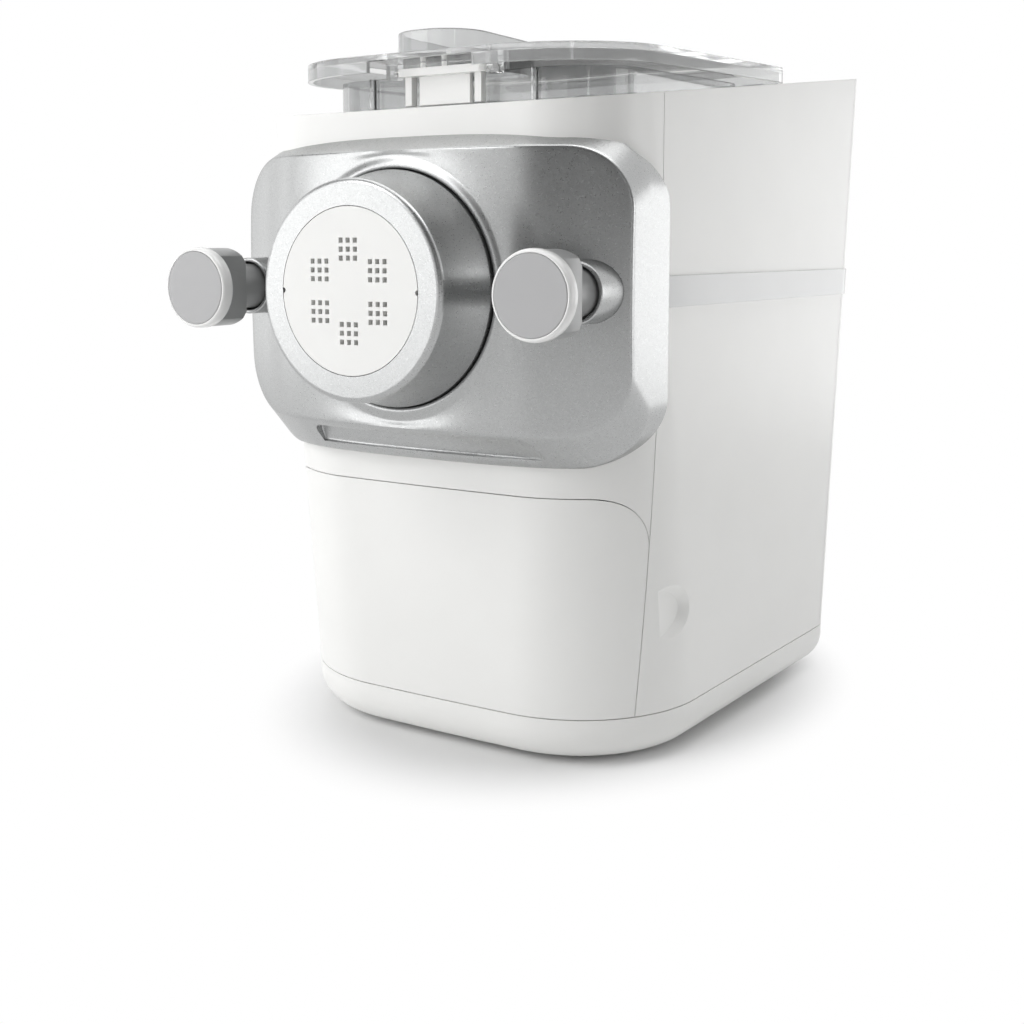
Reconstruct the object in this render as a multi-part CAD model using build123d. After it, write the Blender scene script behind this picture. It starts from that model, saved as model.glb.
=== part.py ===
from build123d import *
import math
import os

# Electric pasta maker: a white housing with a clamped silver front panel, a mixing
# chamber that feeds an extruding screw, a geared drive behind it and a drawer below.
# X points to the right seen from the front and Z up. Y points to the back, and every
# Y value here is a setback from the front face of the shaping disc. write() moves the
# finished pieces to an origin under the middle of the machine.

# Housing: its room round what it holds, and how its faces lean from the base seam up to
# the reference height of the rim
BASE_SEAM_Z = 24.3
RIM_REFERENCE_Z = 300.0
FRONT_SETBACK_HIGH = 43.2
FRONT_LEAN = 19.3
REAR_ROOM = 7.0
REAR_LEAN = 26.0
REAR_SIDE_ROOM = 25.0
REAR_TAPER = 3.0
CORNER_R_HIGH = 43.0
CORNER_SPREAD = 23.5
REAR_CORNER_R = 22.0
FRONT_BOW = 3.0
HOUSING_WALL = 2.6
SEAM_GAP = 0.4
RIM_FRONT_Z = 293.7
RIM_SLOPE = 0.1224
SIDE_SEAM_SETBACK = 93.4
SIDE_SEAM_SLOPE = 0.016
REAR_COVER_DEPTH = 21.5
BAND_BOTTOM_Z = 211.5
BAND_HEIGHT = 14.0
BAND_PROUD = 1.2
BAND_FRONT_GAP = 0.6
BAND_REAR_INSET = 12.8

# Base
FOOT_HEIGHT = 2.0
FOOT_R = 9.0
FOOT_CHAMFER = 0.6
FOOT_X = 58.0
FOOT_FRONT = 98.0
FOOT_REAR_INSET = 29.5
BASE_WALL = 3.0
BASE_EDGE_R = 17.0
RUNNER_WIDTH = 8.0
RUNNER_X = 60.0
RUNNER_FRONT = 90.0
SADDLE_THICKNESS = 6.0
SADDLE_INSET = 8.0
SADDLE_DROP = 8.0

# Drawer
DRAWER_TOP_Z = 127.8
DRAWER_CORNER_R = 25.0
DRAWER_SIDE_ROOM = 17.5
DRAWER_FRONT_ROOM = 21.1
DRAWER_REAR_GAP = 8.0
DRAWER_TRAY_BOTTOM_Z = 28.0
DRAWER_TRAY_TOP_Z = 108.0
DRAWER_WALL = 2.0
FINGER_DISH_R = 16.7
FINGER_DISH_LENGTH = 30.0
FINGER_DISH_DEPTH = 3.6
FINGER_DISH_SLOPE = 5.0
FINGER_DISH_Z = 71.0
FINGER_DISH_WALL = 2.0
SPARE_DISC_GAP = 4.0
SPARE_DISC_SIDE_GAP = 5.2
SPARE_DISC_REAR_GAP = 11.6
SPARE_SLOT_LENGTH = 34.0
SPARE_SLOT_WIDTH = 3.0
SPARE_SLOT_PITCH = 8.0

# Extrusion line
AXIS_Z = 219.6
DISC_R = 35.7
DISC_FLANGE_R = 38.4
DISC_LIP_DEPTH = 5.0
DISC_THICKNESS = 9.0
DISC_HOLE = 2.1
DISC_HOLE_PITCH = 3.76
DISC_GROUP_R = 17.7
DISC_GROUPS = 6
DISC_GROUP_TURN = 30.0
DISC_NOTCH_R = 1.2
DISC_NOTCH_DEPTH = 4.0
NUT_FRONT_R = 47.5
NUT_REAR_R = 52.1
NUT_DEPTH = 38.0
NUT_WAIST_R = 49.1
NUT_WAIST = 17.1
NUT_FLARE_END = 29.6
NUT_EDGE = 2.6
NUT_THREAD_R = 43.0
FIT_GAP = 0.3
RUNNING_GAP = 0.05
TUBE_COLLAR_R = 42.6
TUBE_BORE_R = 24.0
TUBE_MOUTH_R = 33.0
TUBE_CONE = 14.0
TUBE_R = 34.0
TUBE_FLANGE_R = 61.0
TUBE_FLANGE = 3.2
FLANGE_CLEARANCE = 2.0
LIP_RING_BORE_R = 53.4
LIP_RING_R = 58.0
LIP_RING_FRONT = 31.0
LIP_RING_CREST = 1.5
LIP_RING_REAR = 45.6
SCREW_R = 23.2
SCREW_CORE_R = 10.0
SCREW_PITCH = 24.0
SCREW_FLIGHT = 3.0
SCREW_TURNS = 2.5
SCREW_FRONT = 14.0
SCREW_REAR_GAP = 2.0

# Front panel
PANEL_FACE_BOTTOM_Z = 158.0
PANEL_FACE_TOP_Z = 280.4
PANEL_CHAMFER = 15.0
PANEL_TOP_RISE = 8.1
PANEL_BOTTOM_DROP = 15.8
PANEL_OVERHANG = 8.4
PANEL_FACE = 29.7
PANEL_QUARTER_X = 57.6
PANEL_QUARTER = 34.0
PANEL_SHOULDER = 47.6
PANEL_EDGE = 55.5
PANEL_REAR = 91.2
PANEL_CORNER_R = 32.0
PANEL_WALL = 2.6
PANEL_SLOT_LEFT = -52.0
PANEL_SLOT_RIGHT = 65.0
PANEL_SLOT_DEPTH = 7.0
PANEL_SLOT_OPENING = 6.0
PANEL_SLOT_SKIN = 0.4
PANEL_SLOT_START = 0.28
PANEL_SLOT_END = 0.74

# Clamping knobs
KNOB_INSET = 16.7
KNOB_R = 18.4
KNOB_CAP_R = 16.6
KNOB_CAP = 2.2
KNOB_CAP_CHAMFER = 0.3
KNOB_RIM_SUNK = 0.2
KNOB_RIM_FLAT = 0.8
KNOB_RIM_LIP = 2.0
KNOB_RIM = 6.0
KNOB_LENGTH = 22.5
KNOB_GRIP_R = 18.0
KNOB_GRIP_HALF = 10.8
KNOB_BACK_CHAMFER = 2.5
KNOB_SOCKET = 8.0
KNOB_NECK_R = 10.4
KNOB_NECK_LENGTH = 16.0
SLEEVE_R = 13.3
SLEEVE_FRONT = 35.0
SLEEVE_WALL = 1.9
SLEEVE_REAR = 75.0
ROD_R = 4.0
ROD_END = 112.0
ROD_END_GAP = 2.0
RAIL_WIDTH = 12.0
RAIL_HEIGHT = 18.0
RAIL_FRONT = 86.0

# Mixing chamber and lid
CHAMBER_HALF = 80.0
CHAMBER_SIDE_ROOM = 17.0
CHAMBER_FRONT = 79.0
CHAMBER_WALL = 3.0
CHAMBER_CORNER_R = 30.0
CHAMBER_RIB = 2.4
CHAMBER_RIB_INSET = 5.0
CHAMBER_RIB_START = 45.0
SHELF_THICKNESS = 3.0
SHELF_FRONT_GAP = 8.0
SADDLE_HALF = 60.0
SHELF_SADDLE = 5.0
SHELF_SADDLE_TOP = 50.0
SHELF_SADDLE_FRONT = 24.0
SHELF_SADDLE_REAR = 36.0
LID_OVERHANG = 11.5
LID_SPREAD = 8.5
LID_FRONT = 51.2
LID_REAR_OVERHANG = 7.0
LID_BOW = 2.5
LID_CORNER_R = 57.0
LID_REAR_CORNER_R = 16.0
LID_TOP_Z = 326.0
LID_TOP_SETBACK = 85.5
LID_SLOPE = 0.037
LID_EDGE = 7.8
LID_PLATE = 2.6
LID_WALL = 2.4
LATCH_NOTCH_HALF = 28.5
LATCH_NOTCH_REAR = 77.5
NOTCH_GAP = 1.0
NOTCH_WALL = 2.2
NOTCH_SIDE = 2.0
FUNNEL_LEFT = -54.0
FUNNEL_RIGHT = -6.0
FUNNEL_FRONT = 96.0
FUNNEL_REAR = 180.0
FUNNEL_CORNER_R = 22.0
FUNNEL_TOP_Z = 342.5
FUNNEL_WALL = 2.2
LATCH_HALF = 24.3
LATCH_BAR = 3.6
LATCH_DEPTH = 8.0
LATCH_FRONT = 68.0
LATCH_LEG_X = 17.4
LATCH_LEG = 3.6
LATCH_LEG_FRONT = 3.0
LATCH_LEG_DEPTH = 4.0
LATCH_PANEL_FRONT = 4.5
LATCH_PANEL_DEPTH = 2.5
LATCH_CORNER_R = 3.0
LATCH_PANEL_HALF = 14.0
LATCH_PIN_R = 1.2
LATCH_PIN_X = (-11.5, 0.3)
LATCH_PIN_LENGTH = 3.0
LATCH_PIVOT_R = 1.2
LATCH_PIVOT_LENGTH = 2.6
LATCH_EAR_DEPTH = 5.0

# Mixing paddle and drive
SHAFT_R = 8.0
SHAFT_GRIP = 24.0
SEAL_RING = 6.0
SEAL_REAR = 2.0
PADDLE_HUB_R = 12.0
PADDLE_GAP = 3.5
PADDLE_ARM = 9.0
PADDLE_BLADE = 30.0
PADDLE_BLADE_THICKNESS = 4.0
PADDLE_BLADE_HALF = 8.0
PADDLE_ANGLES = (-35.0, -145.0, -60.0, -120.0)
GEAR_BACKLASH = 0.3
OUTPUT_TEETH = 64
LAY_SMALL_TEETH = 16
LAY_LARGE_TEETH = 70
MOTOR_TEETH = 14
SLOW_MODULE = 2.0
FAST_MODULE = 1.5
SLOW_GEAR_WIDTH = 12.0
FAST_GEAR_WIDTH = 8.0
LAY_SHAFT_R = 5.0
GEAR_GAP = 2.5
GEAR_RIM = 9.0
GEAR_WEB_DEPTH = 4.0
GEARBOX_PLATE = 4.0
GEARBOX_SETBACK = 5.0
GEARBOX_WALL = 3.0
GEARBOX_ROOM = 4.5
BULKHEAD_MARGIN = 1.3
BULKHEAD_CORNER_R = 8.0
BEARING_WALL = 5.0
MOTOR_R = 35.0
MOTOR_LENGTH = 65.0
MOTOR_WALL = 2.0
MOTOR_END = 4.0
ROTOR_SHAFT_R = 3.0
ROTOR_HOLE_GAP = 4.0
ROTOR_R = 24.0
ROTOR_INSET = 12.0
FAN_R = 30.0
FAN_HUB_R = 8.0
FAN_LENGTH = 8.0
FAN_GAP = 2.0
FAN_BLADES = 9
FAN_BLADE = 2.0

# Deck, controls and inlet
DECK_DROP = 1.2
DECK_THICKNESS = 3.0
DECK_HOLE_GAP = 0.6
FASCIA_REAR_INSET = 11.5
FASCIA_DEPTH = 48.0
FASCIA_HALF = 88.0
FASCIA_CORNER_R = 8.0
FASCIA_THICKNESS = 1.0
DISPLAY_HALF = 24.0
DISPLAY_DEPTH = 22.0
BUTTON_R = 6.5
BUTTON_HEIGHT = 7.0
BUTTON_PROUD = 0.8
BUTTON_TRAVEL = 1.2
BUTTON_INNER_X = 42.0
BUTTON_OUTER_X = 66.0
BUTTON_CHAMFER = 0.5
BOARD_THICKNESS = 1.6
BOARD_MARGIN = 17.0
BOARD_POST_R = 2.5
BOARD_POST_INSET = 4.0
BOARD_POST_EDGE = 3.0
DRIVE_BOARD_LEFT = 46.0
DRIVE_BOARD_WIDTH = 46.0
DRIVE_BOARD_DEPTH = 52.0
DRIVE_BOARD_REAR_GAP = 3.0
DRIVE_BOARD_LIFT = 6.0
DRIVE_BOARD_POST_INSET = 6.0
CHOKE_WIDTH = 12.0
CHOKE_DEPTH = 28.0
CHOKE_INSET = 4.0
CAPACITOR_R = 6.0
CAPACITOR_PITCH = 20.0
CAPACITOR_INSET = 16.0
COMPONENT_HEIGHT = 18.0
INLET_X = -58.0
INLET_Z = 62.0
INLET_WIDTH = 28.0
INLET_HEIGHT = 20.0
INLET_DEPTH = 18.0
INLET_WALL = 2.0
INLET_FLOOR = 3.0
INLET_CORNER_R = 3.0
INLET_SUNK = 0.5
INLET_PIN_WIDTH = 2.0
INLET_PIN_HEIGHT = 4.0
INLET_PIN_PITCH = 7.0
INLET_PIN_DROP = 2.0
INLET_EARTH_RISE = 3.0
INLET_PIN_SUNK = 5.0
SWITCH_WIDTH = 10.0
SWITCH_DEPTH = 20.0
SWITCH_HEIGHT = 12.0
SWITCH_FRONT = 150.0
SWITCH_GAP = 2.0
VENT_COUNT = 9
VENT_Z = 190.0
VENT_PITCH = 7.0
VENT_WIDTH = 2.6
VENT_LENGTH = 70.0
SMALL_SCREW_R = 3.0
SMALL_SCREW_HEAD = 2.4
LUG_R = 6.5
LUG_LENGTH = 5.0
LUG_GAP = 0.5
LUG_ANGLES = (40.0, -20.0, -60.0)
STANDOFF_INSET = 10.0
STANDOFF_R = 5.0
STANDOFF_Z = (60.0, 250.0)
COVER_SCREW_LENGTH = 14.0
SCREW_SHANK_R = 1.6

# Sizes that follow from those above, from the drawer and the drive outward
FRONT_SETBACK_LOW = FRONT_SETBACK_HIGH + FRONT_LEAN
DRAWER_TRAY_REAR = FRONT_SETBACK_LOW + DRAWER_FRONT_ROOM + 2 * DISC_FLANGE_R + SPARE_DISC_REAR_GAP
FAN_FRONT = DRAWER_TRAY_REAR + DRAWER_REAR_GAP
MOTOR_FRONT = FAN_FRONT + FAN_LENGTH + FAN_GAP
GEARBOX_FRONT = MOTOR_FRONT + MOTOR_LENGTH
MOTOR_REAR = GEARBOX_FRONT - FIT_GAP
SLOW_GEAR_FRONT = GEARBOX_FRONT + GEARBOX_PLATE + GEAR_GAP
FAST_GEAR_FRONT = SLOW_GEAR_FRONT + SLOW_GEAR_WIDTH + GEAR_GAP
GEARBOX_REAR = FAST_GEAR_FRONT + FAST_GEAR_WIDTH + GEAR_GAP
REAR_SETBACK_LOW = GEARBOX_REAR + GEARBOX_PLATE + REAR_ROOM
REAR_SETBACK_HIGH = REAR_SETBACK_LOW + REAR_LEAN
DRAWER_TRAY_HALF = 2 * DISC_FLANGE_R + SPARE_DISC_GAP / 2 + SPARE_DISC_SIDE_GAP
FRONT_HALF_LOW = DRAWER_TRAY_HALF + DRAWER_SIDE_ROOM
FRONT_HALF_HIGH = CHAMBER_HALF + CHAMBER_SIDE_ROOM
PANEL_HALF = FRONT_HALF_HIGH + PANEL_OVERHANG
KNOB_X = PANEL_HALF - KNOB_INSET
BULKHEAD_HALF = KNOB_X + RAIL_WIDTH / 2 + BULKHEAD_MARGIN
REAR_HALF_HIGH = BULKHEAD_HALF + REAR_SIDE_ROOM
REAR_HALF_LOW = REAR_HALF_HIGH - REAR_TAPER
CORNER_R_LOW = CORNER_R_HIGH + CORNER_SPREAD
CHAMBER_REAR = GEARBOX_FRONT - GEARBOX_SETBACK
CHAMBER_RIB_X = CHAMBER_HALF - CHAMBER_CORNER_R - CHAMBER_RIB_INSET
PADDLE_R = CHAMBER_HALF - CHAMBER_WALL - PADDLE_GAP
SHAFT_FRONT = CHAMBER_REAR - SHAFT_GRIP
LID_HALF = CHAMBER_HALF + LID_OVERHANG
LID_REAR = CHAMBER_REAR + LID_REAR_OVERHANG
HOUSING_TOP_Z = RIM_FRONT_Z + RIM_SLOPE * (REAR_SETBACK_HIGH + REAR_LEAN)
OVERALL_DEPTH = REAR_SETBACK_HIGH + (REAR_SETBACK_HIGH - REAR_SETBACK_LOW) * (
    (RIM_FRONT_Z + RIM_SLOPE * REAR_SETBACK_HIGH) - RIM_REFERENCE_Z
) / (RIM_REFERENCE_Z - BASE_SEAM_Z)
FOOT_REAR = REAR_SETBACK_LOW - FOOT_REAR_INSET
FASCIA_REAR = REAR_SETBACK_HIGH - FASCIA_REAR_INSET
FASCIA_FRONT = FASCIA_REAR - FASCIA_DEPTH
BUTTON_X = (-BUTTON_OUTER_X, -BUTTON_INNER_X, BUTTON_INNER_X, BUTTON_OUTER_X)
BAND_FRONT = PANEL_REAR + BAND_FRONT_GAP
BASE_FLOOR_Z = FOOT_HEIGHT + BASE_WALL
DRIVE_BOARD_REAR = GEARBOX_FRONT - DRIVE_BOARD_REAR_GAP
DRIVE_BOARD_FRONT = DRIVE_BOARD_REAR - DRIVE_BOARD_DEPTH
LAY_Z = AXIS_Z - SLOW_MODULE * (OUTPUT_TEETH + LAY_SMALL_TEETH) / 2
MOTOR_Z = LAY_Z - FAST_MODULE * (LAY_LARGE_TEETH + MOTOR_TEETH) / 2
GEARBOX_TOP_Z = AXIS_Z + SLOW_MODULE * (OUTPUT_TEETH / 2 + 1) + GEARBOX_ROOM
REACH = REAR_SETBACK_HIGH + RIM_FRONT_Z  # takes a cutting tool past every piece
NUT_CENTRE = Pos(0, 0, AXIS_Z)
DECK_TILT = Plane(origin=(0, 0, RIM_FRONT_Z), x_dir=(1, 0, 0), z_dir=(0, -RIM_SLOPE, 1))
DECK_TOP = -DECK_DROP


def at_height(low, high, z):
    """Value at height z of a size that runs straight from the base seam to the reference height."""
    return low + (high - low) * (z - BASE_SEAM_Z) / (RIM_REFERENCE_Z - BASE_SEAM_Z)


def rim_z(setback):
    """Height of the sloping rim plane."""
    return RIM_FRONT_Z + RIM_SLOPE * setback


def lid_z(setback):
    """Height of the lid's flat top."""
    return LID_TOP_Z + LID_SLOPE * (setback - LID_TOP_SETBACK)


def side_seam(z):
    """Setback of the seam between the front cover and the side shells."""
    return SIDE_SEAM_SETBACK - SIDE_SEAM_SLOPE * (RIM_REFERENCE_Z - z)


def front_plane(setback):
    """Drawing plane that faces the front: its x is X and its y is Z."""
    return Plane(origin=(0, setback, 0), x_dir=(1, 0, 0), z_dir=(0, -1, 0))


def backward(outline, setback, depth):
    """Outline drawn in X and Z, made solid from the setback towards the back."""
    return extrude(front_plane(setback) * outline, amount=depth, dir=(0, 1, 0))


def side_prism(points, low_x, high_x):
    """Outline of (setback, height) points, made solid between two X values."""
    face = Plane.YZ.offset(low_x) * make_face(Polyline(*points, close=True))
    return extrude(face, amount=high_x - low_x, dir=(1, 0, 0))


def block(low, high):
    """Box between two corners."""
    size = [b - a for a, b in zip(low, high)]
    centre = [(a + b) / 2 for a, b in zip(low, high)]
    return Pos(*centre) * Box(*size)


def rod(radius, start, end, x=0.0, z=AXIS_Z):
    """Cylinder along Y."""
    return backward(Pos(x, z) * Circle(radius), start, end - start)


def ring(outer, inner, start, end, x=0.0, z=AXIS_Z):
    """Tube along Y."""
    return rod(outer, start, end, x, z) - rod(inner, start, end, x, z)


def turned(points, x=0.0, z=AXIS_Z):
    """Body turned about a Y axis from (radius, setback) points."""
    profile = make_face(Polyline(*points, close=True))
    return Pos(x, 0, z) * revolve(profile, Axis.Y)


def bowed_outline(front, rear, front_half, rear_half, bow, front_r, rear_r):
    """Plan outline with a bowed front edge and four rounded corners."""
    nose = ThreePointArc((-front_half, front + bow), (0, front), (front_half, front + bow))
    right = Line((front_half, front + bow), (rear_half, rear))
    back = Line((rear_half, rear), (-rear_half, rear))
    left = Line((-rear_half, rear), (-front_half, front + bow))
    face = make_face([nose, right, back, left])
    corners = face.vertices().sort_by(Axis.Y)
    rounded = fillet(corners[:2], front_r)
    return fillet(rounded.vertices().sort_by(Axis.Y)[-2:], rear_r)


def housing_outline(z, inset=0.0):
    """Plan of the housing at height z, moved inward by the inset."""
    face = bowed_outline(
        at_height(FRONT_SETBACK_LOW, FRONT_SETBACK_HIGH, z) + inset,
        at_height(REAR_SETBACK_LOW, REAR_SETBACK_HIGH, z) - inset,
        at_height(FRONT_HALF_LOW, FRONT_HALF_HIGH, z) - inset,
        at_height(REAR_HALF_LOW, REAR_HALF_HIGH, z) - inset,
        FRONT_BOW,
        at_height(CORNER_R_LOW, CORNER_R_HIGH, z) - inset,
        REAR_CORNER_R - inset,
    )
    return Pos(0, 0, z) * face


def housing_solid(inset=0.0, low_z=BASE_SEAM_Z, high_z=HOUSING_TOP_Z):
    """Solid inside the housing's surface, moved inward by the inset."""
    return loft([housing_outline(low_z, inset), housing_outline(high_z, inset)], ruled=True)


def below_rim(drop=0.0):
    """Everything under the rim plane, lowered by a drop that is measured square to it."""
    upright = drop * math.sqrt(1 + RIM_SLOPE**2)
    front, rear = rim_z(0) - upright, rim_z(REACH) - upright
    return side_prism([(0, 0), (0, front), (REACH, rear), (REACH, 0)], -REACH, REACH)


def seam_zone(gap):
    """Everything in front of the side seam, short of it by the gap."""
    low, high = side_seam(0) - gap, side_seam(HOUSING_TOP_Z) - gap
    points = [(0, 0), (low, 0), (high, HOUSING_TOP_Z), (0, HOUSING_TOP_Z)]
    return side_prism(points, -REACH, REACH)


def behind_rear_seam(gap):
    """Everything behind the seam of the rear cover, short of it by the gap."""
    low = rear_surface(0) - REAR_COVER_DEPTH + gap
    high = rear_surface(HOUSING_TOP_Z) - REAR_COVER_DEPTH + gap
    points = [(low, 0), (REACH, 0), (REACH, HOUSING_TOP_Z), (high, HOUSING_TOP_Z)]
    return side_prism(points, -REACH, REACH)


def drawer_zone(gap):
    """Space of the drawer front, smaller by the gap at its top and rear edges."""
    top = DRAWER_TOP_Z - gap
    points = [(0, 0), (side_seam(0) - gap, 0), (side_seam(top) - gap, top), (0, top)]
    zone = side_prism(points, -REACH, REACH)
    edge = zone.edges().filter_by(Axis.X).group_by(Axis.Z)[-1].sort_by(Axis.Y)[-1]
    return fillet(edge, DRAWER_CORNER_R - gap)


def housing_inside():
    """Space inside the housing's wall, a little taller than the wall at both ends."""
    return housing_solid(HOUSING_WALL, BASE_SEAM_Z - HOUSING_WALL, HOUSING_TOP_Z + HOUSING_WALL)


def housing_wall():
    """Whole wall of the housing above the base seam, cut by the rim plane."""
    return (housing_solid() - housing_inside()) & below_rim()


def base_tray():
    """Base with its rounded foot edge, drawer runners and motor saddles."""
    top = BASE_SEAM_Z - SEAM_GAP
    outer = extrude(housing_outline(BASE_SEAM_Z), amount=-(BASE_SEAM_Z - FOOT_HEIGHT))
    outer = fillet(outer.faces().sort_by(Axis.Z)[0].edges(), BASE_EDGE_R)
    depth = BASE_SEAM_Z - BASE_FLOOR_Z
    inner = extrude(housing_outline(BASE_SEAM_Z, BASE_WALL), amount=-depth)
    inner = fillet(inner.faces().sort_by(Axis.Z)[0].edges(), BASE_EDGE_R - BASE_WALL)
    tray = (outer - inner) & block((-REACH, 0, 0), (REACH, REACH, top))
    for side in (-1, 1):
        low_x, high_x = sorted((side * RUNNER_X, side * (RUNNER_X + RUNNER_WIDTH)))
        low = (low_x, RUNNER_FRONT, BASE_FLOOR_Z)
        tray += block(low, (high_x, DRAWER_TRAY_REAR, DRAWER_TRAY_BOTTOM_Z - FIT_GAP))
    for front in (MOTOR_FRONT + SADDLE_INSET, MOTOR_REAR - SADDLE_INSET - SADDLE_THICKNESS):
        high = (MOTOR_R, front + SADDLE_THICKNESS, MOTOR_Z - SADDLE_DROP)
        tray += block((-MOTOR_R, front, BASE_FLOOR_Z), high) - rod(MOTOR_R, 0, REACH, 0, MOTOR_Z)
    for x, setback in drive_board_posts():
        post = Cylinder(BOARD_POST_R, DRIVE_BOARD_LIFT)
        tray += Pos(x, setback, BASE_FLOOR_Z + DRIVE_BOARD_LIFT / 2) * post
    return tray


def drive_board_posts():
    """Places of the posts under the motor's circuit board."""
    inset = DRIVE_BOARD_POST_INSET
    across = (DRIVE_BOARD_LEFT + inset, DRIVE_BOARD_LEFT + DRIVE_BOARD_WIDTH - inset)
    along = (DRIVE_BOARD_FRONT + inset, DRIVE_BOARD_REAR - inset)
    return [(x, setback) for x in across for setback in along]


def rubber_feet():
    """Four round feet under the base."""
    places = [(side * FOOT_X, setback) for side in (-1, 1) for setback in (FOOT_FRONT, FOOT_REAR)]
    feet = [Pos(x, y, FOOT_HEIGHT / 2) * Cylinder(FOOT_R, FOOT_HEIGHT) for x, y in places]
    return Compound([chamfer(foot.edges().sort_by(Axis.Z)[0], FOOT_CHAMFER) for foot in feet])


def front_cover(wall):
    """Front shell above the drawer, with its holes for the extrusion tube and clamp rods."""
    cover = wall & seam_zone(SEAM_GAP / 2)
    cover -= drawer_zone(-SEAM_GAP / 2)
    cover -= rod(TUBE_FLANGE_R + FLANGE_CLEARANCE, 0, CHAMBER_FRONT)
    for side in (-1, 1):
        cover -= rod(SLEEVE_R - SLEEVE_WALL, 0, ROD_END, side * KNOB_X)
    return cover


def finger_dish(side, wall):
    """Oval scoop with sloping sides, sunk from the side at the drawer's rear edge."""
    setback = side_seam(FINGER_DISH_Z)
    surface = side_half(setback, FINGER_DISH_Z)
    turn = math.degrees(math.atan(side_half(setback + 1, FINGER_DISH_Z) - surface))
    ovals = []
    for level in (-1, 1):
        growth = wall + level * FINGER_DISH_SLOPE
        oval = Ellipse(FINGER_DISH_R + growth, FINGER_DISH_LENGTH + growth)
        ovals.append(Pos(0, 0, level * (FINGER_DISH_DEPTH + wall)) * oval)
    dish = Rot(0, 0, -turn) * Rot(0, 90, 0) * loft(ovals, ruled=True)
    dish = Pos(surface, setback, FINGER_DISH_Z) * dish
    return dish if side > 0 else mirror(dish, Plane.YZ)


def side_half(setback, z):
    """Half width of the housing's side at a setback and a height."""
    front = at_height(FRONT_SETBACK_LOW, FRONT_SETBACK_HIGH, z) + FRONT_BOW
    rear = at_height(REAR_SETBACK_LOW, REAR_SETBACK_HIGH, z)
    front_half = at_height(FRONT_HALF_LOW, FRONT_HALF_HIGH, z)
    rear_half = at_height(REAR_HALF_LOW, REAR_HALF_HIGH, z)
    return front_half + (rear_half - front_half) * (setback - front) / (rear - front)


def side_shell(wall, side):
    """Side shell between the front seam and the rear seam, with the dish for a finger."""
    low_x, high_x = sorted((0, side * REACH))
    half = block((low_x, 0, 0), (high_x, REACH, REACH))
    behind_seam = block((-REACH, 0, 0), (REACH, REACH, REACH)) - seam_zone(-SEAM_GAP / 2)
    pad = finger_dish(side, FINGER_DISH_WALL) & housing_solid() & behind_seam
    shell = (wall & half & behind_seam) + pad - behind_rear_seam(-SEAM_GAP / 2)
    return shell - finger_dish(side, 0)


def rear_cover(wall):
    """Rear shell with air slots, screw seats and the cut-out of the power inlet."""
    cuts = [inlet_hole(FIT_GAP)]
    first = VENT_Z - (VENT_COUNT - 1) / 2 * VENT_PITCH
    for index in range(VENT_COUNT):
        slot = Pos(0, first + index * VENT_PITCH) * SlotOverall(VENT_LENGTH, VENT_WIDTH)
        cuts.append(backward(slot, GEARBOX_REAR, REACH))
    for x, z in standoff_places():
        seat = rear_surface(z) - HOUSING_WALL / 2
        cuts.append(rod(SMALL_SCREW_R + FIT_GAP, seat, REACH, x, z))
        cuts.append(rod(SCREW_SHANK_R, seat - COVER_SCREW_LENGTH, REACH, x, z))
    cover = wall & behind_rear_seam(SEAM_GAP / 2)
    for cut in cuts:
        cover -= cut
    return cover


def rear_surface(z):
    """Setback of the housing's rear face."""
    return at_height(REAR_SETBACK_LOW, REAR_SETBACK_HIGH, z)


def standoff_places():
    """Places of the standoffs that the rear cover is screwed to."""
    places = []
    for z in STANDOFF_Z:
        x = at_height(REAR_HALF_LOW, REAR_HALF_HIGH, z) - REAR_CORNER_R - STANDOFF_INSET
        places += [(-x, z), (x, z)]
    return places


def rear_screws():
    """Four screws in seats in the rear cover, each in a standoff of the bulkhead."""
    screws = []
    for x, z in standoff_places():
        seat = rear_surface(z) - HOUSING_WALL / 2
        head = rod(SMALL_SCREW_R, seat, seat + HOUSING_WALL / 3, x, z)
        screws.append(head + rod(SCREW_SHANK_R, seat - COVER_SCREW_LENGTH, seat, x, z))
    return Compound(screws)


def inlet_hole(gap):
    """Space of the power inlet's body."""
    shape = RectangleRounded(INLET_WIDTH + 2 * gap, INLET_HEIGHT + 2 * gap, INLET_CORNER_R)
    return backward(Pos(INLET_X, INLET_Z) * shape, GEARBOX_FRONT, REACH)


def side_band(side):
    """Bare trim band laid along the side, from the front panel to the rear corner."""
    top = BAND_BOTTOM_Z + BAND_HEIGHT
    rear = rear_surface(BAND_BOTTOM_Z) - BAND_REAR_INSET
    zone = block((0, BAND_FRONT, BAND_BOTTOM_Z), (REACH, rear, top))
    band = (housing_solid(-BAND_PROUD) & zone) - housing_solid()
    return band if side > 0 else mirror(band, Plane.YZ)


def top_deck():
    """Sloping deck inside the rim, with the chamber's hole and the control openings."""
    inner = housing_solid(HOUSING_WALL + FIT_GAP)
    deck = (inner & below_rim(DECK_DROP)) - below_rim(DECK_DROP + DECK_THICKNESS)
    half = CHAMBER_HALF + DECK_HOLE_GAP
    front = CHAMBER_FRONT - CHAMBER_RIB - DECK_HOLE_GAP
    hole = block((-half, front, AXIS_Z), (half, CHAMBER_REAR + DECK_HOLE_GAP, REACH))
    deck -= fillet(hole.edges().filter_by(Axis.Z), CHAMBER_CORNER_R)
    deck -= display_space(FIT_GAP)
    for x in BUTTON_X:
        deck -= button_space(x, FIT_GAP)
    for side in (-1, 1):
        for index in (0, 1):
            deck += deck_post(side, index)
    return deck


def deck_local(setback):
    """Distance along the tilted deck that belongs to a setback."""
    return setback * math.sqrt(1 + RIM_SLOPE**2)


def deck_middle():
    """Distance along the deck of the fascia's middle line."""
    return deck_local((FASCIA_FRONT + FASCIA_REAR) / 2)


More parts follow.
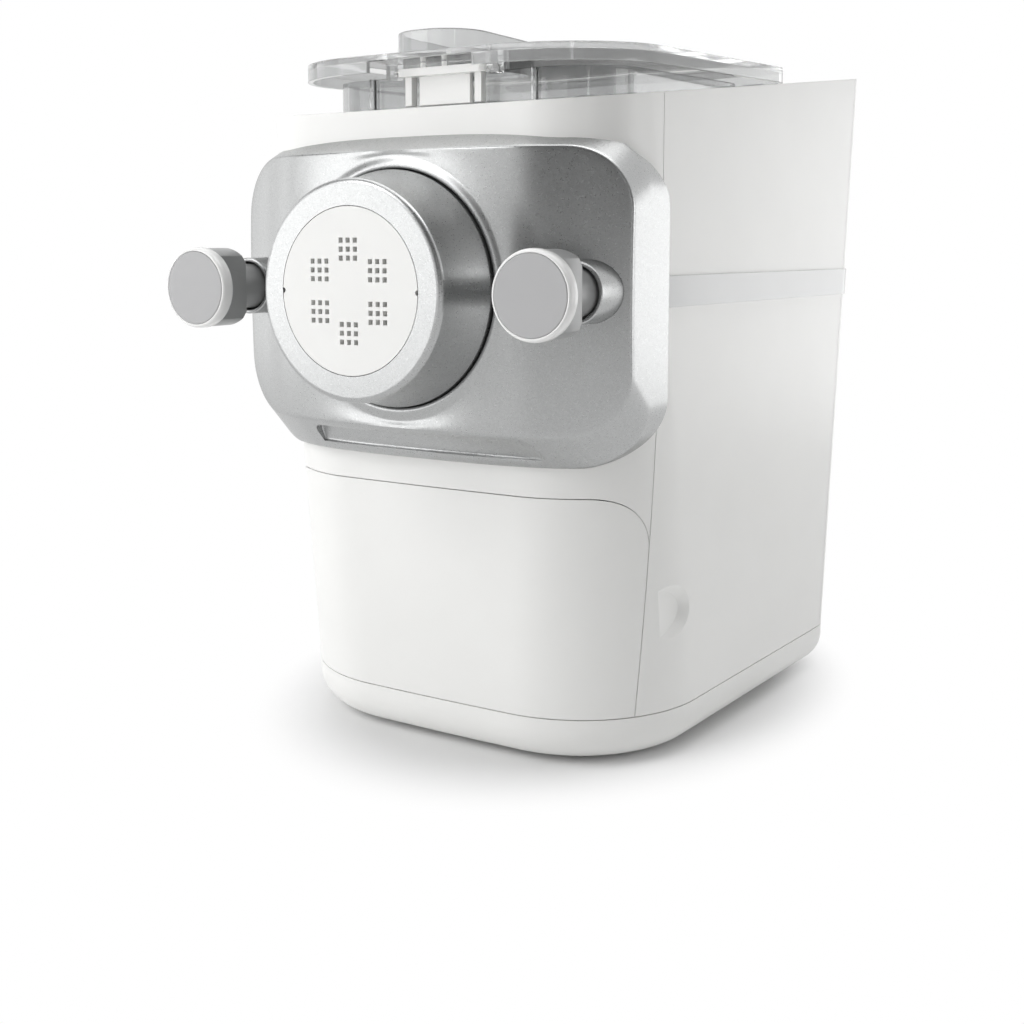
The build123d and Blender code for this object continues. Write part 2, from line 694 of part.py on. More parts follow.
def deck_box(half, depth, low, high, x=0.0):
    """Box on the tilted deck, centred on the fascia's middle line."""
    shape = Pos(x, deck_middle(), low) * extrude(Rectangle(2 * half, depth), amount=high - low)
    return DECK_TILT * shape


def deck_cylinder(radius, low, high, x, along=0.0):
    """Cylinder that stands square to the tilted deck."""
    shape = Pos(x, deck_middle() + along, low) * extrude(Circle(radius), amount=high - low)
    return DECK_TILT * shape


def display_space(gap):
    """Opening of the display window."""
    return deck_box(DISPLAY_HALF + gap, DISPLAY_DEPTH + 2 * gap, -DISPLAY_DEPTH, DISPLAY_DEPTH)


def button_space(x, gap):
    """Opening of a push button."""
    return deck_cylinder(BUTTON_R + gap, -DISPLAY_DEPTH, DISPLAY_DEPTH, x)


def board_top():
    """Height of the control board's top, measured square to the rim plane."""
    return DECK_TOP + FASCIA_THICKNESS + BUTTON_PROUD - BUTTON_HEIGHT - BUTTON_TRAVEL - FIT_GAP


def deck_post(side, index):
    """Post that carries a corner of the control board."""
    along = (2 * index - 1) * (DISPLAY_DEPTH / 2 - BOARD_POST_EDGE)
    x = side * (BUTTON_OUTER_X + BOARD_MARGIN - BOARD_POST_INSET)
    return deck_cylinder(BOARD_POST_R, board_top(), DECK_TOP - DECK_THICKNESS / 2, x, along)


def control_fascia():
    """Thin glossy fascia on the deck round the display and the buttons."""
    sheet = RectangleRounded(2 * FASCIA_HALF, deck_local(FASCIA_DEPTH), FASCIA_CORNER_R)
    sheet = Pos(0, deck_middle(), DECK_TOP) * extrude(sheet, amount=FASCIA_THICKNESS)
    fascia = DECK_TILT * sheet - display_space(FIT_GAP)
    for x in BUTTON_X:
        fascia -= button_space(x, FIT_GAP)
    return fascia


def display_glass():
    """Display window with the display block behind it, standing on the control board."""
    return deck_box(DISPLAY_HALF, DISPLAY_DEPTH, board_top(), DECK_TOP + FASCIA_THICKNESS)


def push_button(x):
    """Round push button that stands just proud of the fascia."""
    top = DECK_TOP + FASCIA_THICKNESS + BUTTON_PROUD
    button = deck_cylinder(BUTTON_R, top - BUTTON_HEIGHT, top, x)
    return chamfer(button.edges().sort_by(Axis.Z)[-1], BUTTON_CHAMFER)


def control_board():
    """Circuit board under the deck."""
    top = board_top()
    return deck_box(BUTTON_OUTER_X + BOARD_MARGIN, DISPLAY_DEPTH, top - BOARD_THICKNESS, top)


def panel_curve(inset, drop_y=0.0):
    """Plan curve of the front panel's face, as one smooth edge."""
    points = [
        (-PANEL_HALF + inset, PANEL_EDGE),
        (-KNOB_X, PANEL_SHOULDER),
        (-PANEL_QUARTER_X, PANEL_QUARTER),
        (0, PANEL_FACE),
        (PANEL_QUARTER_X, PANEL_QUARTER),
        (KNOB_X, PANEL_SHOULDER),
        (PANEL_HALF - inset, PANEL_EDGE),
    ]
    return Spline(*[(x, y + inset + drop_y) for x, y in points])


def panel_plan(inset, rear):
    """Plan of the front panel from its curved face back to its rear edge."""
    curve = panel_curve(inset)
    start, end = curve @ 0, curve @ 1
    right = Line(end, (end.X, rear))
    back = Line((end.X, rear), (start.X, rear))
    left = Line((start.X, rear), start)
    return make_face([curve, right, back, left])


def panel_solid(inset):
    """Front panel's outer form: curved face, sloping upper and lower edges, rounded corners."""
    plan = panel_plan(inset, PANEL_REAR + PANEL_EDGE)
    low, high = PANEL_FACE_BOTTOM_Z, PANEL_FACE_TOP_Z
    rise, drop = PANEL_TOP_RISE - inset, PANEL_BOTTOM_DROP - inset
    body = Pos(0, 0, low) * extrude(plan, amount=high - low)
    body += slanted(Pos(0, 0, high) * plan, PANEL_CHAMFER, rise)
    body += slanted(Pos(0, 0, low) * plan, PANEL_CHAMFER, -drop)
    middle = (high + rise + low - drop) / 2
    height = high - low + rise + drop
    outline = RectangleRounded(2 * (PANEL_HALF - inset), height, PANEL_CORNER_R - inset)
    return body & backward(Pos(0, middle) * outline, 0, PANEL_REAR)


def slanted(face, back, up):
    """Face drawn out in a slanting direction."""
    return extrude(face, amount=math.hypot(back, up), dir=(0, back, up))


def panel_slot(margin):
    """Long finger slot in the lower sloping edge, wider by the margin."""
    length = math.hypot(PANEL_CHAMFER, PANEL_BOTTOM_DROP)
    start = PANEL_SLOT_START - margin / length
    end = PANEL_SLOT_END + margin / length
    front = panel_curve(0, PANEL_SLOT_SKIN if margin else -PANEL_SLOT_OPENING)
    rear = panel_curve(0, PANEL_SLOT_DEPTH + margin)
    band = make_face([front, Line(front @ 1, rear @ 1), rear, Line(rear @ 0, front @ 0)])
    band = Pos(0, PANEL_CHAMFER * start, PANEL_FACE_BOTTOM_Z - PANEL_BOTTOM_DROP * start) * band
    strip = slanted(band, PANEL_CHAMFER * (end - start), -PANEL_BOTTOM_DROP * (end - start))
    low, high = PANEL_SLOT_LEFT - margin, PANEL_SLOT_RIGHT + margin
    return strip & block((low, 0, 0), (high, REACH, REACH))


def front_plate():
    """Hollow front panel, open at the back, with its nut hole, sleeve holes and finger slot."""
    plate = panel_solid(0) - panel_solid(PANEL_WALL)
    pocket = panel_slot(PANEL_WALL) & panel_solid(0)
    plate = (plate + pocket) - panel_slot(0)
    plate -= housing_solid(-FIT_GAP)
    plate -= rod(LIP_RING_R, 0, PANEL_EDGE)
    for side in (-1, 1):
        plate -= rod(SLEEVE_R, 0, ROD_END, side * KNOB_X)
    return plate


def lip_ring():
    """Raised ring round the nut that carries the tube's flange."""
    crest = (LIP_RING_BORE_R + LIP_RING_R) / 2
    return turned([
        (LIP_RING_BORE_R, LIP_RING_FRONT + LIP_RING_CREST),
        (crest, LIP_RING_FRONT),
        (LIP_RING_R, LIP_RING_FRONT + LIP_RING_CREST),
        (LIP_RING_R, LIP_RING_REAR),
        (LIP_RING_BORE_R, LIP_RING_REAR),
    ])


def extrusion_tube():
    """Tube that the screw turns in, with the nut's collar and the flange behind the panel."""
    front = DISC_THICKNESS + FIT_GAP
    return turned([
        (TUBE_MOUTH_R, front),
        (TUBE_COLLAR_R, front),
        (TUBE_COLLAR_R, LIP_RING_REAR),
        (TUBE_FLANGE_R, LIP_RING_REAR),
        (TUBE_FLANGE_R, LIP_RING_REAR + TUBE_FLANGE),
        (TUBE_R, LIP_RING_REAR + TUBE_FLANGE),
        (TUBE_R, CHAMBER_FRONT + CHAMBER_WALL),
        (TUBE_BORE_R, CHAMBER_FRONT + CHAMBER_WALL),
        (TUBE_BORE_R, front + TUBE_CONE),
    ])


def disc_nut():
    """Large cup nut that holds the shaping disc on the tube."""
    lip_rear = DISC_LIP_DEPTH - FIT_GAP
    with BuildPart() as nut:
        with BuildSketch(Plane.XY):
            with BuildLine():
                Line((DISC_R + FIT_GAP, 0), (NUT_FRONT_R - NUT_EDGE, 0))
                RadiusArc((NUT_FRONT_R - NUT_EDGE, 0), (NUT_FRONT_R, NUT_EDGE), -NUT_EDGE)
                Spline((NUT_FRONT_R, NUT_EDGE), (NUT_WAIST_R, NUT_WAIST), (NUT_REAR_R, NUT_FLARE_END))
                Polyline(
                    (NUT_REAR_R, NUT_FLARE_END),
                    (NUT_REAR_R, NUT_DEPTH),
                    (NUT_THREAD_R, NUT_DEPTH),
                    (NUT_THREAD_R, DISC_THICKNESS),
                    (DISC_FLANGE_R + FIT_GAP, DISC_THICKNESS),
                    (DISC_FLANGE_R + FIT_GAP, lip_rear),
                    (DISC_R + FIT_GAP, lip_rear),
                    (DISC_R + FIT_GAP, 0),
                )
            make_face()
        revolve(axis=Axis.Y)
    return NUT_CENTRE * nut.part


def disc_blank():
    """Shaping disc without its holes: a face that stands in the nut and a flange behind it."""
    return turned([
        (0, 0),
        (DISC_R, 0),
        (DISC_R, DISC_LIP_DEPTH),
        (DISC_FLANGE_R, DISC_LIP_DEPTH),
        (DISC_FLANGE_R, DISC_THICKNESS),
        (0, DISC_THICKNESS),
    ])


def shaping_disc():
    """Disc with groups of nine square holes and a locating notch at each side."""
    cell = Rectangle(DISC_HOLE, DISC_HOLE)
    holes = []
    for index in range(DISC_GROUPS):
        angle = math.radians(DISC_GROUP_TURN + index * 360 / DISC_GROUPS)
        x, z = DISC_GROUP_R * math.cos(angle), AXIS_Z + DISC_GROUP_R * math.sin(angle)
        for place in GridLocations(DISC_HOLE_PITCH, DISC_HOLE_PITCH, 3, 3):
            centre = place.position
            holes.append(backward(Pos(x + centre.X, z + centre.Y) * cell, 0, DISC_THICKNESS))
    for side in (-1, 1):
        holes.append(rod(DISC_NOTCH_R, 0, DISC_NOTCH_DEPTH, side * DISC_R))
    return disc_blank() - holes


def spare_discs():
    """Two stacks of spare discs that lie in the drawer."""
    discs = []
    blank = Pos(0, 0, -AXIS_Z) * disc_blank()
    slot = SlotOverall(SPARE_SLOT_LENGTH, SPARE_SLOT_WIDTH)
    rows = [Pos(0, row * SPARE_SLOT_PITCH) * slot for row in range(-2, 3)]
    slots = [backward(row, 0, DISC_THICKNESS) for row in rows]
    flat = Rot(180, 0, 0) * Rot(-90, 0, 0) * (blank - slots)
    setback = DRAWER_TRAY_REAR - SPARE_DISC_REAR_GAP - DISC_FLANGE_R
    for side in (-1, 1):
        x = side * (DISC_FLANGE_R + SPARE_DISC_GAP / 2)
        for level in range(2):
            z = DRAWER_TRAY_BOTTOM_Z + DRAWER_WALL + level * DISC_THICKNESS
            discs.append(Pos(x, setback, z) * flat)
    return Compound(discs)


def extruding_screw():
    """Screw with one helical flight on a round core, driven by the paddle's hub."""
    rear = CHAMBER_FRONT + CHAMBER_WALL + SCREW_REAR_GAP
    core = rod(SCREW_CORE_R, SCREW_FRONT, rear)
    height = SCREW_PITCH * SCREW_TURNS
    path = Helix(SCREW_PITCH, height, SCREW_CORE_R)
    section_plane = Plane(origin=path @ 0, x_dir=(1, 0, 0), z_dir=path % 0)
    root = SCREW_FLIGHT / 3
    width = SCREW_R - SCREW_CORE_R + root
    section = section_plane * Pos(width / 2 - root, 0) * Rectangle(width, SCREW_FLIGHT)
    flight = sweep(section, path=path, is_frenet=True)
    flight = Pos(0, SCREW_FRONT + SCREW_FLIGHT, AXIS_Z) * Rot(-90, 0, 0) * flight
    return core + flight


def mixing_paddle():
    """Paddle tube on the drive shaft, with four arms whose blades sweep the chamber wall."""
    front = CHAMBER_FRONT + CHAMBER_WALL + SCREW_REAR_GAP
    rear = CHAMBER_REAR - CHAMBER_WALL - SCREW_REAR_GAP
    hub = rod(PADDLE_HUB_R, front, rear) - rod(SHAFT_R, SHAFT_FRONT, rear)
    first = CHAMBER_FRONT + CHAMBER_WALL + 2 * CHAMBER_CORNER_R / 3
    last = CHAMBER_REAR - CHAMBER_WALL - 2 * CHAMBER_CORNER_R / 3
    step = (last - first - PADDLE_BLADE) / 3
    for index, angle in enumerate(PADDLE_ANGLES):
        middle = first + PADDLE_BLADE / 2 + index * step
        half = PADDLE_ARM / 2
        inner_r = PADDLE_R - PADDLE_BLADE_THICKNESS
        tip = inner_r + PADDLE_BLADE_THICKNESS / 4
        arm = block((0, middle - half, -half), (tip, middle + half, half))
        blade = ring(PADDLE_R, inner_r, middle - PADDLE_BLADE / 2, middle + PADDLE_BLADE / 2, 0, 0)
        blade = blade & block((0, 0, -PADDLE_BLADE_HALF), (REACH, REACH, PADDLE_BLADE_HALF))
        piece = Rot(0, -angle, 0) * (arm + blade)
        hub += Pos(0, 0, AXIS_Z) * piece - rod(SHAFT_R, SHAFT_FRONT, rear)
    return hub


def chamber_outline(inset):
    """U-shaped section of the chamber, open upward."""
    half = CHAMBER_HALF - inset
    arc = ThreePointArc((-half, AXIS_Z), (0, AXIS_Z - half), (half, AXIS_Z))
    rest = Polyline((half, AXIS_Z), (half, HOUSING_TOP_Z), (-half, HOUSING_TOP_Z), (-half, AXIS_Z))
    return make_face([arc, rest])


def under_lid(drop):
    """Everything under a plane parallel to the lid's top."""
    points = [(0, 0), (0, lid_z(0) - drop), (REACH, lid_z(REACH) - drop), (REACH, 0)]
    return side_prism(points, -REACH, REACH)


def mixing_chamber():
    """Clear U-shaped tub with rounded front corners above the axis and two ribs in front."""
    outer = backward(chamber_outline(0), CHAMBER_FRONT, CHAMBER_REAR - CHAMBER_FRONT)
    depth = CHAMBER_REAR - CHAMBER_FRONT - 2 * CHAMBER_WALL
    inner = backward(chamber_outline(CHAMBER_WALL), CHAMBER_FRONT + CHAMBER_WALL, depth)
    outer = fillet(upright_edges(outer), CHAMBER_CORNER_R)
    inner = fillet(upright_edges(inner), CHAMBER_CORNER_R - CHAMBER_WALL)
    tub = outer - inner
    for side in (-1, 1):
        x = side * CHAMBER_RIB_X
        low = (x - CHAMBER_RIB / 2, CHAMBER_FRONT - CHAMBER_RIB, AXIS_Z + CHAMBER_RIB_START)
        tub += block(low, (x + CHAMBER_RIB / 2, CHAMBER_FRONT, HOUSING_TOP_Z))
    tub = tub & under_lid(LID_EDGE + FIT_GAP)
    tub -= rod(TUBE_R + FIT_GAP, 0, CHAMBER_FRONT + CHAMBER_CORNER_R)
    return tub - rod(seal_r(), CHAMBER_REAR - CHAMBER_CORNER_R, REACH)


def upright_edges(solid):
    """Upright edges of the chamber; their rounding runs on round the U."""
    return solid.edges().filter_by(Axis.Z)


def seal_r():
    """Outer radius of the shaft seal."""
    return SHAFT_R + SEAL_RING


def shaft_seal():
    """Rubber seal between the chamber's rear wall and the drive shaft."""
    rear = CHAMBER_REAR + SEAL_REAR
    return ring(seal_r(), SHAFT_R + RUNNING_GAP, CHAMBER_REAR - CHAMBER_WALL, rear)


def chamber_shelf():
    """Shelf over the drawer with two saddles that carry the chamber."""
    front = CHAMBER_FRONT + SHELF_FRONT_GAP
    top = DRAWER_TOP_Z + SHELF_THICKNESS
    layer = block((-REACH, front, DRAWER_TOP_Z), (REACH, GEARBOX_FRONT, top))
    plate = housing_solid(HOUSING_WALL + FIT_GAP) & layer
    for setback in (front + SHELF_SADDLE_FRONT, CHAMBER_REAR - SHELF_SADDLE_REAR):
        high = (SADDLE_HALF, setback + SHELF_SADDLE, AXIS_Z - SHELF_SADDLE_TOP)
        plate += block((-SADDLE_HALF, setback, top), high) - rod(CHAMBER_HALF, 0, REACH)
    return plate


def clamp_rail(side):
    """Rail from the gearbox bulkhead to the front, bored for the knob's clamp rod."""
    inner_x = KNOB_X - RAIL_WIDTH / 2
    low, high = sorted((side * inner_x, side * (inner_x + RAIL_WIDTH)))
    bottom, top = AXIS_Z - RAIL_HEIGHT / 2, AXIS_Z + RAIL_HEIGHT / 2
    rail = block((low, RAIL_FRONT, bottom), (high, GEARBOX_FRONT, top))
    return rail - rod(ROD_R + RUNNING_GAP, 0, ROD_END + ROD_END_GAP, side * KNOB_X)


def knob_sleeve(side):
    """Silver sleeve round the knob's neck, fixed in the front panel."""
    sleeve = rod(SLEEVE_R, SLEEVE_FRONT, SLEEVE_REAR, side * KNOB_X)
    sleeve -= housing_solid(-FIT_GAP)
    return sleeve - rod(SLEEVE_R - SLEEVE_WALL, 0, REACH, side * KNOB_X)


def knob_cap(side):
    """Satin face of the knob."""
    cap = rod(KNOB_CAP_R, 0, KNOB_CAP, side * KNOB_X)
    return chamfer(cap.edges().sort_by(Axis.Y)[0], KNOB_CAP_CHAMFER)


def knob_rim(side):
    """White rim ring round the knob's face."""
    return turned([
        (KNOB_CAP_R, KNOB_RIM_SUNK),
        (KNOB_CAP_R + KNOB_RIM_FLAT, KNOB_RIM_SUNK),
        (KNOB_R, KNOB_CAP),
        (KNOB_R, KNOB_RIM),
        (KNOB_CAP_R - KNOB_RIM_LIP, KNOB_RIM),
        (KNOB_CAP_R - KNOB_RIM_LIP, KNOB_CAP),
        (KNOB_CAP_R, KNOB_CAP),
    ], side * KNOB_X)


def knob_body(side):
    """Grip of the knob with two flats, and the neck behind it."""
    x = side * KNOB_X
    grip = rod(KNOB_GRIP_R, KNOB_RIM, KNOB_LENGTH, x)
    grip = chamfer(grip.edges().sort_by(Axis.Y)[-1], KNOB_BACK_CHAMFER)
    flats = block((x - KNOB_GRIP_HALF, 0, 0), (x + KNOB_GRIP_HALF, KNOB_LENGTH, REACH))
    plug = rod(KNOB_CAP_R - KNOB_RIM_LIP, KNOB_CAP, KNOB_RIM, x)
    neck = rod(KNOB_NECK_R, KNOB_LENGTH, KNOB_LENGTH + KNOB_NECK_LENGTH, x)
    knob = (grip & flats) + plug + neck
    return knob - rod(ROD_R, KNOB_LENGTH - KNOB_SOCKET, REACH, x)


def clamp_rod(side):
    """Steel rod from the knob to the clamp rail."""
    return rod(ROD_R, KNOB_LENGTH - KNOB_SOCKET, ROD_END, side * KNOB_X)


def drawer_front(wall):
    """Drawer front, cut from the housing's form."""
    return wall & drawer_zone(SEAM_GAP / 2) & seam_zone(SEAM_GAP / 2)


def drawer_tray():
    """Open drawer box that follows the curved front."""
    low, high = DRAWER_TRAY_BOTTOM_Z, DRAWER_TRAY_TOP_Z
    half, rear = DRAWER_TRAY_HALF, DRAWER_TRAY_REAR
    outer = housing_inside() & block((-half, 0, low), (half, rear, high))
    thin = DRAWER_WALL
    space = block((-half + thin, 0, low + thin), (half - thin, rear - thin, high + thin))
    return outer - (housing_solid(HOUSING_WALL + thin) & space)


def lid_outline(inset):
    """Plan of the lid's flange."""
    return bowed_outline(
        LID_FRONT + inset,
        LID_REAR - inset,
        LID_HALF - inset,
        LID_HALF + LID_SPREAD - inset,
        LID_BOW,
        LID_CORNER_R - inset,
        LID_REAR_CORNER_R - inset,
    )


def between_lid_planes(upper, lower):
    """Layer of space at two depths below the lid's top."""
    return under_lid(upper) - under_lid(lower)


def funnel_outline(inset):
    """Plan of the pouring funnel."""
    width = FUNNEL_RIGHT - FUNNEL_LEFT - 2 * inset
    depth = FUNNEL_REAR - FUNNEL_FRONT - 2 * inset
    shape = RectangleRounded(width, depth, FUNNEL_CORNER_R - inset)
    x, setback = (FUNNEL_LEFT + FUNNEL_RIGHT) / 2, (FUNNEL_FRONT + FUNNEL_REAR) / 2
    return Pos(x, setback, AXIS_Z) * shape


def lid():
    """Clear lid: flat plate, edge skirt, notch for the latch and a raised pouring funnel."""
    outer = extrude(lid_outline(0), amount=REACH)
    inner = extrude(lid_outline(LID_WALL), amount=REACH)
    cover = outer & between_lid_planes(0, LID_PLATE)
    cover += (outer - inner) & between_lid_planes(0, LID_EDGE)
    cover += extrude(funnel_outline(0), amount=FUNNEL_TOP_Z - AXIS_Z) - under_lid(LID_PLATE)
    cover -= extrude(funnel_outline(FUNNEL_WALL), amount=REACH)
    notch_top = lid_z(LATCH_NOTCH_REAR) - LID_PLATE - NOTCH_GAP
    notch = block((-LATCH_NOTCH_HALF, 0, AXIS_Z), (LATCH_NOTCH_HALF, LATCH_NOTCH_REAR, notch_top))
    cover = cover - notch + notch_wall()
    for side in (-1, 1):
        cover += latch_ear(side)
    return cover


def latch_z():
    """Height of the top of the latch's bar."""
    return lid_z(LATCH_FRONT + LATCH_DEPTH / 2) - LID_PLATE - LATCH_PIN_LENGTH


def latch_pivot(radius, length, side):
    """Rod along X at an end of the latch's bar, on the latch's tilting axis."""
    x, setback = side * (LATCH_HALF + length / 2), LATCH_FRONT + LATCH_DEPTH / 2
    return Pos(x, setback, latch_z() - LATCH_BAR / 2) * Rot(0, 90, 0) * Cylinder(radius, length)


def latch_ear(side):
    """Ear under the lid that holds one of the latch's pivots."""
    low_x, high_x = sorted((side * (LATCH_HALF + FIT_GAP), side * (LATCH_NOTCH_HALF + LID_WALL)))
    middle = LATCH_FRONT + LATCH_DEPTH / 2
    low = latch_z() - LATCH_BAR / 2 - LATCH_EAR_DEPTH / 2
    half = LATCH_EAR_DEPTH / 2
    ear = block((low_x, middle - half, low), (high_x, middle + half, REACH)) & under_lid(LID_PLATE / 2)
    return ear - latch_pivot(LATCH_PIVOT_R + RUNNING_GAP, LATCH_PIVOT_LENGTH + FIT_GAP, side)


def notch_wall():
    """Rear wall of the latch notch, which closes the lid's edge behind the latch."""
    half = LATCH_NOTCH_HALF + NOTCH_SIDE
    low, high = LATCH_NOTCH_REAR, LATCH_NOTCH_REAR + NOTCH_WALL
    wall = block((-half, low, AXIS_Z), (half, high, REACH))
    return wall & between_lid_planes(0, LID_EDGE)


def lid_latch():
    """White latch frame under the lid's front edge: top bar, two legs and a middle panel."""
    top = latch_z()
    front, rear = LATCH_FRONT, LATCH_FRONT + LATCH_DEPTH
    bottom = rim_z(rear) + FIT_GAP
    bar = block((-LATCH_HALF, front, top - LATCH_BAR), (LATCH_HALF, rear, top))
    bar = fillet(bar.edges().filter_by(Axis.Z), LATCH_CORNER_R)
    leg_front, panel_front = front + LATCH_LEG_FRONT, front + LATCH_PANEL_FRONT
    for side in (-1, 1):
        bar += latch_pivot(LATCH_PIVOT_R, LATCH_PIVOT_LENGTH, side)
        low, high = sorted((side * LATCH_LEG_X, side * (LATCH_LEG_X + LATCH_LEG)))
        bar += block((low, leg_front, bottom), (high, leg_front + LATCH_LEG_DEPTH, top - LATCH_BAR))
    high = (LATCH_PANEL_HALF, panel_front + LATCH_PANEL_DEPTH, top - LATCH_BAR)
    return bar + block((-LATCH_PANEL_HALF, panel_front, bottom), high)


def latch_pins():
    """Two white pins that hang the latch under the lid's plate."""
    setback = LATCH_FRONT + LATCH_DEPTH / 2
    length = lid_z(setback) - LID_PLATE - latch_z() - FIT_GAP
    middle = latch_z() + length / 2
    pin = Cylinder(LATCH_PIN_R, length)
    return Compound([Pos(x, setback, middle) * pin for x in LATCH_PIN_X])


def gear_outline(teeth, module, phase_deg):
    """Involute gear outline with one tooth centred on the phase angle."""
    pressure = math.radians(20)
    pitch_r = teeth * module / 2
    base_r = pitch_r * math.cos(pressure)
    root_r = pitch_r - 1.25 * module
    tip_r = pitch_r + module
    first_r = max(base_r, root_r)
    half_at_pitch = math.pi / (2 * teeth) - GEAR_BACKLASH / (2 * pitch_r)
    flank_steps = 3
    flank = []
    for step in range(flank_steps + 1):
        radius = first_r + (tip_r - first_r) * step / flank_steps
        angle = math.acos(min(1.0, base_r / radius))
        involute = math.tan(angle) - angle
        half = half_at_pitch + math.tan(pressure) - pressure - involute
        flank.append((radius, half))
    if root_r < first_r - 0.01:
        flank.insert(0, (root_r, flank[0][1]))
    points = []
    for index in range(teeth):
        centre = math.radians(phase_deg) + index * 2 * math.pi / teeth
        for radius, half in flank:
            points.append((radius * math.cos(centre - half), radius * math.sin(centre - half)))
        for radius, half in reversed(flank):
            points.append((radius * math.cos(centre + half), radius * math.sin(centre + half)))
    return make_face(Polyline(*points, close=True))


def gear(teeth, module, phase_deg, front, width, z, bore):
    """Gear on the Y axis line at height z."""
    body = backward(Pos(0, z) * gear_outline(teeth, module, phase_deg), front, width)
    return body - rod(bore, 0, REACH, 0, z)


def output_gear():
    """Large gear on the drive shaft, thinned between rim and hub."""
    wheel = gear(OUTPUT_TEETH, SLOW_MODULE, -90, SLOW_GEAR_FRONT, SLOW_GEAR_WIDTH, AXIS_Z, SHAFT_R)
    rim_r = SLOW_MODULE * OUTPUT_TEETH / 2 - GEAR_RIM
    return wheel - ring(rim_r, SHAFT_R + GEAR_RIM, 0, SLOW_GEAR_FRONT + GEAR_WEB_DEPTH)


def lay_gears():
    """Small slow gear and large fast gear, moulded as one cluster on the lay shaft."""
    phase = 90 + 180 / LAY_SMALL_TEETH
    width = FAST_GEAR_FRONT - SLOW_GEAR_FRONT
    small = gear(LAY_SMALL_TEETH, SLOW_MODULE, phase, SLOW_GEAR_FRONT, width, LAY_Z, LAY_SHAFT_R)
    front = FAST_GEAR_FRONT
    return small + gear(LAY_LARGE_TEETH, FAST_MODULE, -90, front, FAST_GEAR_WIDTH, LAY_Z, LAY_SHAFT_R)


def motor_pinion():
    """Pinion on the rotor's shaft."""
    phase = 90 + 180 / MOTOR_TEETH
    front = FAST_GEAR_FRONT
    return gear(MOTOR_TEETH, FAST_MODULE, phase, front, FAST_GEAR_WIDTH, MOTOR_Z, ROTOR_SHAFT_R)


def drive_shaft():
    """Shaft from the output gear through the seal into the paddle."""
    return rod(SHAFT_R, SHAFT_FRONT, GEARBOX_REAR + GEARBOX_PLATE)


def lay_shaft():
    """Shaft of the gear cluster."""
    return rod(LAY_SHAFT_R, GEARBOX_FRONT, GEARBOX_REAR + GEARBOX_PLATE, 0, LAY_Z)


def shaft_bushes():
    """Bronze bushes of the drive shaft and the lay shaft in both gearbox plates."""
    bushes = []
    for start in (GEARBOX_FRONT, GEARBOX_REAR):
        for radius, z in ((SHAFT_R, AXIS_Z), (LAY_SHAFT_R, LAY_Z)):
            outer, end = radius + BEARING_WALL, start + GEARBOX_PLATE
            bushes.append(ring(outer, radius + RUNNING_GAP, start, end, 0, z))
    return Compound(bushes)


def case_circles(margin):
    """Height and radius of the case's three round parts, smaller by the margin."""
    top_r = GEARBOX_TOP_Z - AXIS_Z
    lay_r = FAST_MODULE * (LAY_LARGE_TEETH / 2 + 1) + GEARBOX_ROOM
    foot_r = FAST_MODULE * (MOTOR_TEETH / 2 + 1) + GEARBOX_ROOM
    return [(AXIS_Z, top_r - margin), (LAY_Z, lay_r - margin), (MOTOR_Z, foot_r - margin)]


def gearbox_outline(margin):
    """Outline of the gear case round its three gear wheels."""
    (top_z, top_r), (lay_z, lay_r), (foot_z, foot_r) = case_circles(margin)
    shape = Pos(0, top_z) * Circle(top_r)
    shape += Pos(0, lay_z) * Circle(lay_r)
    shape += Pos(0, foot_z) * Circle(foot_r)
    shape += Pos(0, (top_z + lay_z) / 2) * Rectangle(2 * (lay_r - GEARBOX_ROOM), top_z - lay_z)
    return shape + Pos(0, (foot_z + lay_z) / 2) * Rectangle(2 * foot_r, lay_z - foot_z)


def gearbox_bulkhead():
    """Steel bulkhead on the base that carries gears, chamber, motor and clamp rails."""
    rear = GEARBOX_FRONT + GEARBOX_PLATE
    low = (-BULKHEAD_HALF, GEARBOX_FRONT, BASE_FLOOR_Z)
    plate = block(low, (BULKHEAD_HALF, rear, GEARBOX_TOP_Z))
    plate = fillet(plate.edges().filter_by(Axis.Y), BULKHEAD_CORNER_R)
    plate -= rod(SHAFT_R + BEARING_WALL, 0, REACH)
    plate -= rod(LAY_SHAFT_R + BEARING_WALL, 0, REACH, 0, LAY_Z)
    plate -= rod(ROTOR_SHAFT_R + ROTOR_HOLE_GAP, 0, REACH, 0, MOTOR_Z)
    for x, z in standoff_places():
        seat = rear_surface(z) - HOUSING_WALL / 2
        post = rod(STANDOFF_R, GEARBOX_FRONT, REACH, x, z) & housing_solid(HOUSING_WALL + FIT_GAP)
        plate += post
        plate -= rod(SCREW_SHANK_R, seat - COVER_SCREW_LENGTH, REACH, x, z)
    return plate


def gearbox_case():
    """Rear half of the gear case."""
    front = GEARBOX_FRONT + GEARBOX_PLATE
    rear = GEARBOX_REAR + GEARBOX_PLATE
    case = backward(gearbox_outline(0), front, rear - front)
    case -= backward(gearbox_outline(GEARBOX_WALL), front, GEARBOX_REAR - front)
    case -= rod(SHAFT_R + BEARING_WALL, front, REACH)
    case -= rod(LAY_SHAFT_R + BEARING_WALL, front, REACH, 0, LAY_Z)
    for x, z in screw_places():
        case += rod(LUG_R, front, screw_front(), x, z)
    return case


def gearbox_screws():
    """Screw heads that fix the gear case's lugs to the bulkhead."""
    heads = []
    for x, z in screw_places():
        heads.append(rod(SMALL_SCREW_R, screw_front(), screw_front() + SMALL_SCREW_HEAD, x, z))
    return Compound(heads)


def screw_places():
    """Places of the gear case's lugs: two beside each of its round parts."""
    places = []
    for (z, radius), angle in zip(case_circles(0), LUG_ANGLES):
        reach = radius + LUG_R - GEARBOX_WALL + LUG_GAP
        for side in (-1, 1):
            turn = math.radians(angle)
            places.append((side * reach * math.cos(turn), z + reach * math.sin(turn)))
    return places


